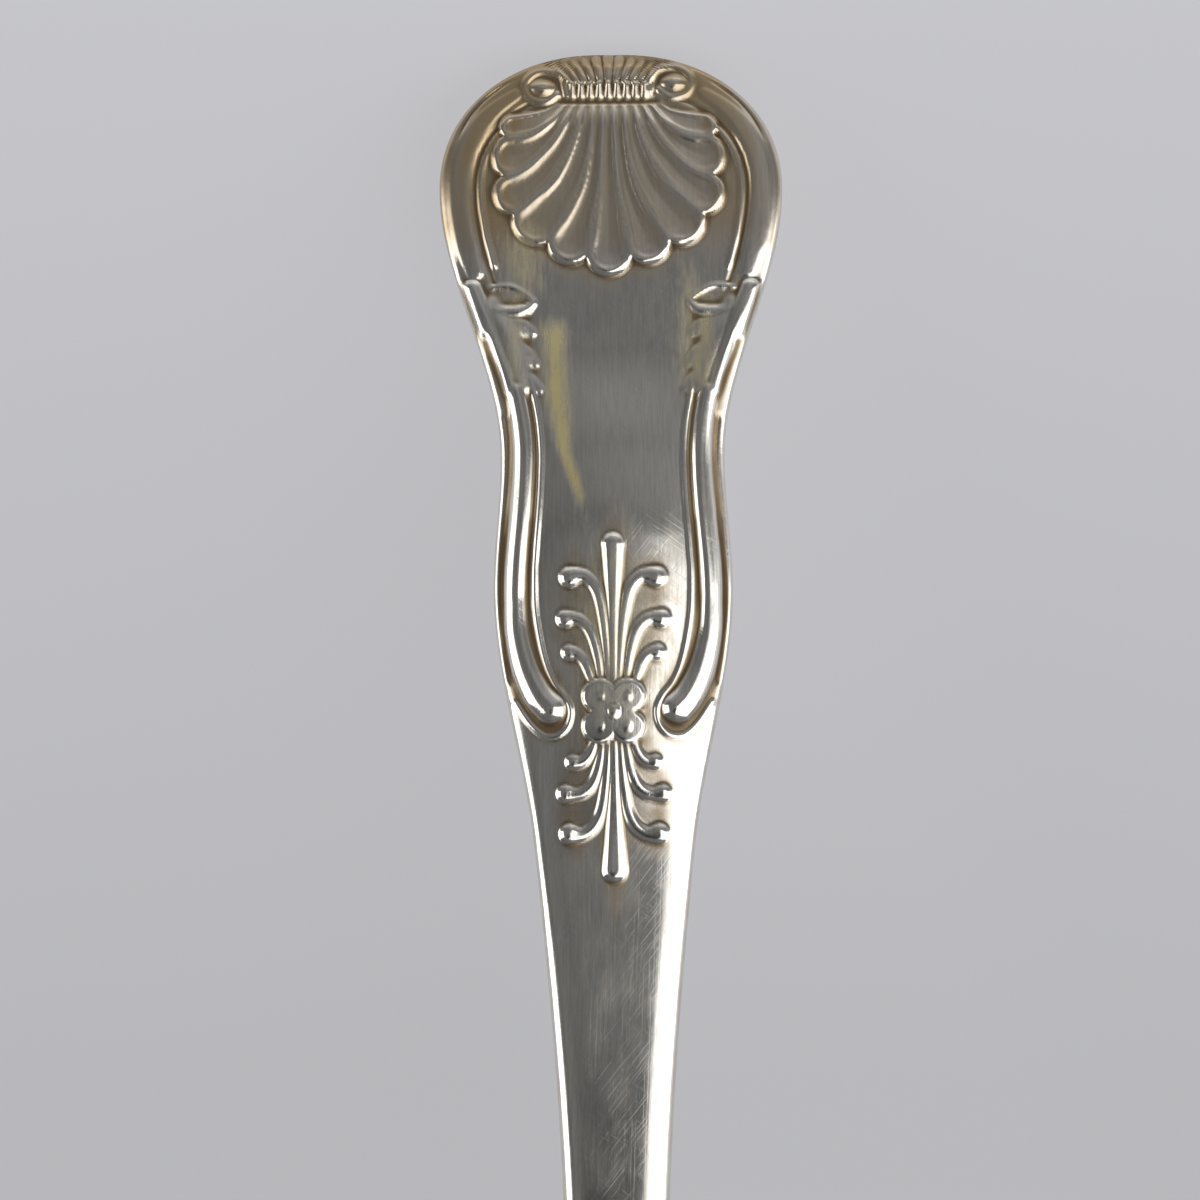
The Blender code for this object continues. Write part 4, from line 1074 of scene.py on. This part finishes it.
def hard_solder(looks):
    """Solder run into the joint and stoned smooth: a greyer line, with small pits that polish missed."""
    material, tree, shader = new_material("silver_solder_run_and_stoned")
    in_metres = add_node(tree, "ShaderNodeTexCoord").outputs["Object"]
    pits = add_node(
        tree, "ShaderNodeTexNoise",
        Vector=in_metres, Scale=1 / (SOLDER_PIT_SIZE * MM), Detail=5.0, Roughness=0.6,
    ).outputs[0]
    dark = add_node(tree, "ShaderNodeMapRange", Value=pits, From_Min=0.5, From_Max=0.75, To_Max=0.6)
    tint = add_node(
        tree, "ShaderNodeMix", {"data_type": "RGBA"},
        in0=dark.outputs[0], in6=(*looks.solder, 1), in7=(*looks.tarnish, 1),
    )
    rough = add_node(
        tree, "ShaderNodeMapRange", Value=pits, From_Min=0.3, From_Max=0.7, To_Min=0.2, To_Max=0.42
    )
    uneven = add_node(tree, "ShaderNodeBump", Strength=0.5, Distance=SOLDER_PIT_DEPTH * MM, Height=pits)
    tree.links.new(tint.outputs[2], shader.inputs["Base Color"])
    tree.links.new(rough.outputs[0], shader.inputs["Roughness"])
    tree.links.new(uneven.outputs[0], shader.inputs["Normal"])
    shader.inputs["Metallic"].default_value = 1.0
    return material


def laid_paper(looks):
    """Paper laid flat under soft light: pale, matt and even, and a little brighter towards the tip, where
    light is painted into its glow.
    """
    material, tree, shader = new_material("paper_laid_flat")
    rays = add_node(tree, "ShaderNodeLightPath")
    shown = 0.0
    for name in ("Is Camera Ray", "Is Glossy Ray", "Is Transmission Ray"):
        either = add_node(tree, "ShaderNodeMath", {"operation": "ADD"}, in0=rays.outputs[name], in1=shown)
        shown = either.outputs[0]
    in_metres = add_node(tree, "ShaderNodeTexCoord").outputs["Object"]
    place = add_node(tree, "ShaderNodeSeparateXYZ", Vector=in_metres)
    # Painted light: the glow rises towards the tip of the handle.
    (near, far), (dimmest, brightest) = TABLE_GLOW
    rising = add_node(
        tree, "ShaderNodeMapRange",
        Value=place.outputs[1], From_Min=near, From_Max=far, To_Min=dimmest, To_Max=brightest,
    )
    glow = add_node(tree, "ShaderNodeMath", {"operation": "MULTIPLY"}, in0=shown, in1=rising.outputs[0])
    tree.links.new(glow.outputs[0], shader.inputs["Emission Strength"])
    shader.inputs["Emission Color"].default_value = (*looks.table, 1)
    shader.inputs["Base Color"].default_value = (*(TABLE_DIFFUSE * part for part in looks.table), 1)
    shader.inputs["Roughness"].default_value = 0.9
    return material


def lay_table(scene):
    """Lays the table top just under the ladle."""
    bm = bmesh.new()
    bmesh.ops.create_grid(bm, x_segments=1, y_segments=1, size=TABLE_HALF)
    bmesh.ops.translate(bm, verts=bm.verts[:], vec=(0, 0, -TABLE_DROP))
    mesh = bpy.data.meshes.new("table_top")
    bm.to_mesh(mesh)
    bm.free()
    mesh.materials.append(laid_paper(scene.ladle_looks))
    table = bpy.data.objects.new("table_top", mesh)
    scene.collection.objects.link(table)


def aim_camera(scene, blank):
    """Sets the camera square over the handle's face. Gives the point it looks at and its turn."""
    _, middle, _ = VIEW_AT
    at = Vector(blank.bent(*(np.array([part]) for part in VIEW_AT))[0])
    ends = blank.bent(np.zeros(2), np.array([middle - VIEW_CHORD, middle + VIEW_CHORD]), np.zeros(2))
    along = Vector(ends[0] - ends[1]).normalized()
    right = Vector((1, 0, 0))
    out = right.cross(along).normalized()
    turn = Matrix((right, along, out)).transposed() @ Matrix.Rotation(math.radians(VIEW_ROLL), 3, "Z")
    lens = bpy.data.cameras.new("photo_camera")
    lens.sensor_width = SENSOR_WIDTH
    lens.lens = SENSOR_WIDTH * VIEW_DISTANCE / VIEW_WIDTH
    lens.clip_start, lens.clip_end = VIEW_DEPTHS
    camera = bpy.data.objects.new("photo_camera", lens)
    scene.collection.objects.link(camera)
    camera.matrix_world = Matrix.Translation(at + out * VIEW_DISTANCE) @ turn.to_4x4()
    scene.camera = camera
    return at, turn


def hang_lamp(scene, at, turn, name, yaw, pitch, wide, tall, power):
    """Hangs a soft lamp that faces the point the camera looks at."""
    lamp = bpy.data.lights.new(name, "AREA")
    lamp.shape = "RECTANGLE"
    lamp.size = wide
    lamp.size_y = tall
    lamp.energy = power
    softbox = bpy.data.objects.new(name, lamp)
    scene.collection.objects.link(softbox)
    aim = turn @ Matrix.Rotation(math.radians(yaw), 3, "Y") @ Matrix.Rotation(math.radians(-pitch), 3, "X")
    softbox.matrix_world = Matrix.Translation(at + aim @ Vector((0, 0, LAMP_DISTANCE))) @ aim.to_4x4()


def paint_room(scene):
    """Sets the room that the metal mirrors: light by height, stronger to the right and beyond the tip."""
    world = bpy.data.worlds.new("dark_room_pale_walls")
    scene.world = world
    world.use_nodes = True
    tree = world.node_tree
    coordinate = add_node(tree, "ShaderNodeTexCoord")
    parts = add_node(tree, "ShaderNodeSeparateXYZ", Vector=coordinate.outputs["Generated"])
    ramp = add_node(tree, "ShaderNodeValToRGB", in0=parts.outputs[2])
    stops = ramp.color_ramp.elements
    while len(stops) < len(ROOM_LIGHT):
        stops.new(1.0)
    for stop, (up, level) in zip(stops, ROOM_LIGHT):
        stop.position = up
        stop.color = (*(level * part for part in ROOM_TINT), 1)
    strength = 1.0
    for axis, ((start, end), (low, high)) in enumerate((ROOM_RIGHT, ROOM_BEYOND)):
        rising = add_node(
            tree, "ShaderNodeMapRange",
            Value=parts.outputs[axis], From_Min=start, From_Max=end, To_Min=low, To_Max=high,
        )
        both = add_node(
            tree, "ShaderNodeMath", {"operation": "MULTIPLY"}, in0=rising.outputs[0], in1=strength
        )
        strength = both.outputs[0]
    background = tree.nodes["Background"]
    tree.links.new(ramp.outputs[0], background.inputs["Color"])
    tree.links.new(strength, background.inputs["Strength"])


class LADLE_OT_handle(Operator):
    """Models the struck handle, from its shell end to the tongue behind the bowl."""

    bl_idname = "ladle.handle"
    bl_label = "Handle"

    def execute(self, context):
        scene = context.scene
        blank = Blank(scene.ladle_handle, scene.ladle_bowl)
        x, s, height, struck, lines, inner = handle_skin(blank)
        rows, columns = x.shape
        bm, column, row = sheet(columns - 1, rows - 1)
        films = handle_films(x, s, struck, lines, inner)
        films = {name: film[row, column] for name, film in films.items()}
        x, s, height = (part[row, column] for part in (x, s, height))
        layers = {name: bm.verts.layers.float.new(name) for name in films}
        plan = bm.loops.layers.uv.new("plan_mm")
        for index, (vertex, place) in enumerate(zip(bm.verts, blank.bent(x, s, height))):
            vertex.co = place
            for name, layer in layers.items():
                vertex[layer] = films[name][index]
        bm.verts.index_update()
        for face in bm.faces:
            for loop in face.loops:
                index = loop.vert.index
                loop[plan].uv = x[index], s[index]
        bmesh.ops.remove_doubles(bm, verts=bm.verts[:], dist=MERGE_DISTANCE)
        smooth_faces(bm)
        finished(context, bm, "struck_handle", struck_silver(scene.ladle_looks), "handle")
        return {"FINISHED"}


class LADLE_OT_bowl(Operator):
    """Raises the bowl, with its round lip and flat foot."""

    bl_idname = "ladle.bowl"
    bl_label = "Bowl"

    def execute(self, context):
        scene = context.scene
        blank = Blank(scene.ladle_handle, scene.ladle_bowl)
        bm = bmesh.new()
        bmesh.ops.create_uvsphere(
            bm, u_segments=BOWL_SEGMENTS, v_segments=BOWL_RINGS, radius=blank.bowl_radius
        )
        bmesh.ops.bisect_plane(
            bm, geom=bm.verts[:] + bm.edges[:] + bm.faces[:],
            plane_co=(0, 0, blank.rim_height), plane_no=(0, 0, 1), clear_outer=True,
        )
        bmesh.ops.solidify(bm, geom=bm.faces[:], thickness=blank.wall)
        inner_rim = math.sqrt((blank.bowl_radius - blank.wall) ** 2 - blank.rim_height**2)
        for vertex in bm.verts:
            if vertex.co.z > blank.rim_height + LIP_TOLERANCE:
                level = vertex.co.xy.normalized() * inner_rim
                vertex.co = level.x, level.y, blank.rim_height
        lip = [
            edge
            for edge in bm.edges
            if all(abs(vertex.co.z - blank.rim_height) < LIP_TOLERANCE for vertex in edge.verts)
            and abs(edge.verts[0].co.length - edge.verts[1].co.length) < LIP_TOLERANCE
        ]
        bmesh.ops.bevel(
            bm, geom=lip, offset=blank.wall * LIP_SHARE,
            affect="EDGES", segments=LIP_SEGMENTS, profile=0.5, material=-1,
        )
        lean = Matrix.Rotation(blank.rest_turn, 3, "X")
        bmesh.ops.scale(bm, verts=bm.verts[:], vec=(blank.oval, 1, 1))
        bmesh.ops.rotate(bm, verts=bm.verts[:], cent=(0, 0, 0), matrix=lean)
        bmesh.ops.translate(bm, verts=bm.verts[:], vec=(0, 0, foot_level(blank)))
        bmesh.ops.bisect_plane(
            bm, geom=bm.verts[:] + bm.edges[:] + bm.faces[:], plane_co=(0, 0, 0), plane_no=(0, 0, 1)
        )
        for vertex in bm.verts:
            vertex.co.z = max(vertex.co.z, 0.0)
        bmesh.ops.scale(bm, verts=bm.verts[:], vec=(MM, MM, MM))
        smooth_faces(bm)
        finished(context, bm, "raised_bowl", raised_silver(scene.ladle_looks), "bowl")
        return {"FINISHED"}


class LADLE_OT_solder(Operator):
    """Runs the solder fillet round the tongue."""

    bl_idname = "ladle.solder"
    bl_label = "Solder seam"

    def execute(self, context):
        scene = context.scene
        blank = Blank(scene.ladle_handle, scene.ladle_bowl)
        leg = scene.ladle_bowl.solder_radius / MM
        arc = np.radians(np.linspace(0, 90, SOLDER_ARC_POINTS))
        section = [(1 - math.sin(turn), 1 - math.cos(turn)) for turn in arc]
        section += [(-SOLDER_BACK, 1.0), (-SOLDER_BACK, 0.0), (0.0, 0.0), section[0]]
        reach, lift = np.array(section).T
        bm, column, row = sheet(len(section) - 1, SOLDER_STEPS)
        turn = np.radians(np.linspace(-SOLDER_SWEEP, SOLDER_SWEEP, SOLDER_STEPS + 1))[row]
        half = blank.root_width / 2
        power = 2 / TONGUE_FULLNESS
        across = np.sign(turn) * np.abs(np.sin(turn)) ** power * half
        along = RIM_AT + TONGUE_LENGTH * np.cos(turn) ** power
        out_x, out_s = np.sin(turn), np.cos(turn) * half / TONGUE_LENGTH
        norm = np.hypot(out_x, out_s)
        rise = np.minimum(leg, SOLDER_CLIMB * blank.half_thickness(along))
        outward = leg * reach[column] - SOLDER_TUCK
        x = across + outward * out_x / norm
        s = along + outward * out_s / norm
        height = blank.lap(x) - rise * lift[column]
        for vertex, place in zip(bm.verts, blank.bent(x, s, height)):
            vertex.co = place
        bmesh.ops.remove_doubles(bm, verts=bm.verts[:], dist=MERGE_DISTANCE)
        bmesh.ops.holes_fill(bm, edges=[edge for edge in bm.edges if edge.is_boundary])
        smooth_faces(bm)
        finished(context, bm, "run_solder", hard_solder(scene.ladle_looks), "solder_seam")
        return {"FINISHED"}


class LADLE_OT_stage(Operator):
    """Sets the table, the soft lamps, the dark room and the camera."""

    bl_idname = "ladle.stage"
    bl_label = "Table, lamps and camera"

    def execute(self, context):
        scene = context.scene
        lay_table(scene)
        at, turn = aim_camera(scene, Blank(scene.ladle_handle, scene.ladle_bowl))
        for lamp in LAMPS:
            hang_lamp(scene, at, turn, *lamp)
        paint_room(scene)
        scene.view_settings.view_transform = "Standard"
        return {"FINISHED"}


class LADLE_PT_panel(Panel):
    """Lists the sizes, the looks and the pieces."""

    bl_idname = "LADLE_PT_panel"
    bl_label = "Silver Ladle"
    bl_space_type = "VIEW_3D"
    bl_region_type = "UI"
    bl_category = "Ladle"

    def draw(self, context):
        for group in (context.scene.ladle_handle, context.scene.ladle_bowl, context.scene.ladle_looks):
            box = self.layout.box()
            for name in group.__annotations__:
                box.prop(group, name)
        for operator in OPERATORS:
            self.layout.operator(operator.bl_idname)


OPERATORS = (LADLE_OT_handle, LADLE_OT_bowl, LADLE_OT_solder, LADLE_OT_stage)
GROUPS = (("ladle_handle", LadleHandle), ("ladle_bowl", LadleBowl), ("ladle_looks", LadleLooks))
CLASSES = tuple(group for _, group in GROUPS) + OPERATORS + (LADLE_PT_panel,)


def register():
    for one in CLASSES:
        bpy.utils.register_class(one)
    for name, group in GROUPS:
        setattr(bpy.types.Scene, name, PointerProperty(type=group))


def unregister():
    for name, _ in GROUPS:
        delattr(bpy.types.Scene, name)
    for one in reversed(CLASSES):
        bpy.utils.unregister_class(one)


def main():
    register()
    bpy.ops.ladle.handle()
    bpy.ops.ladle.bowl()
    bpy.ops.ladle.solder()
    bpy.ops.ladle.stage()


if __name__ == "__main__":
    main()
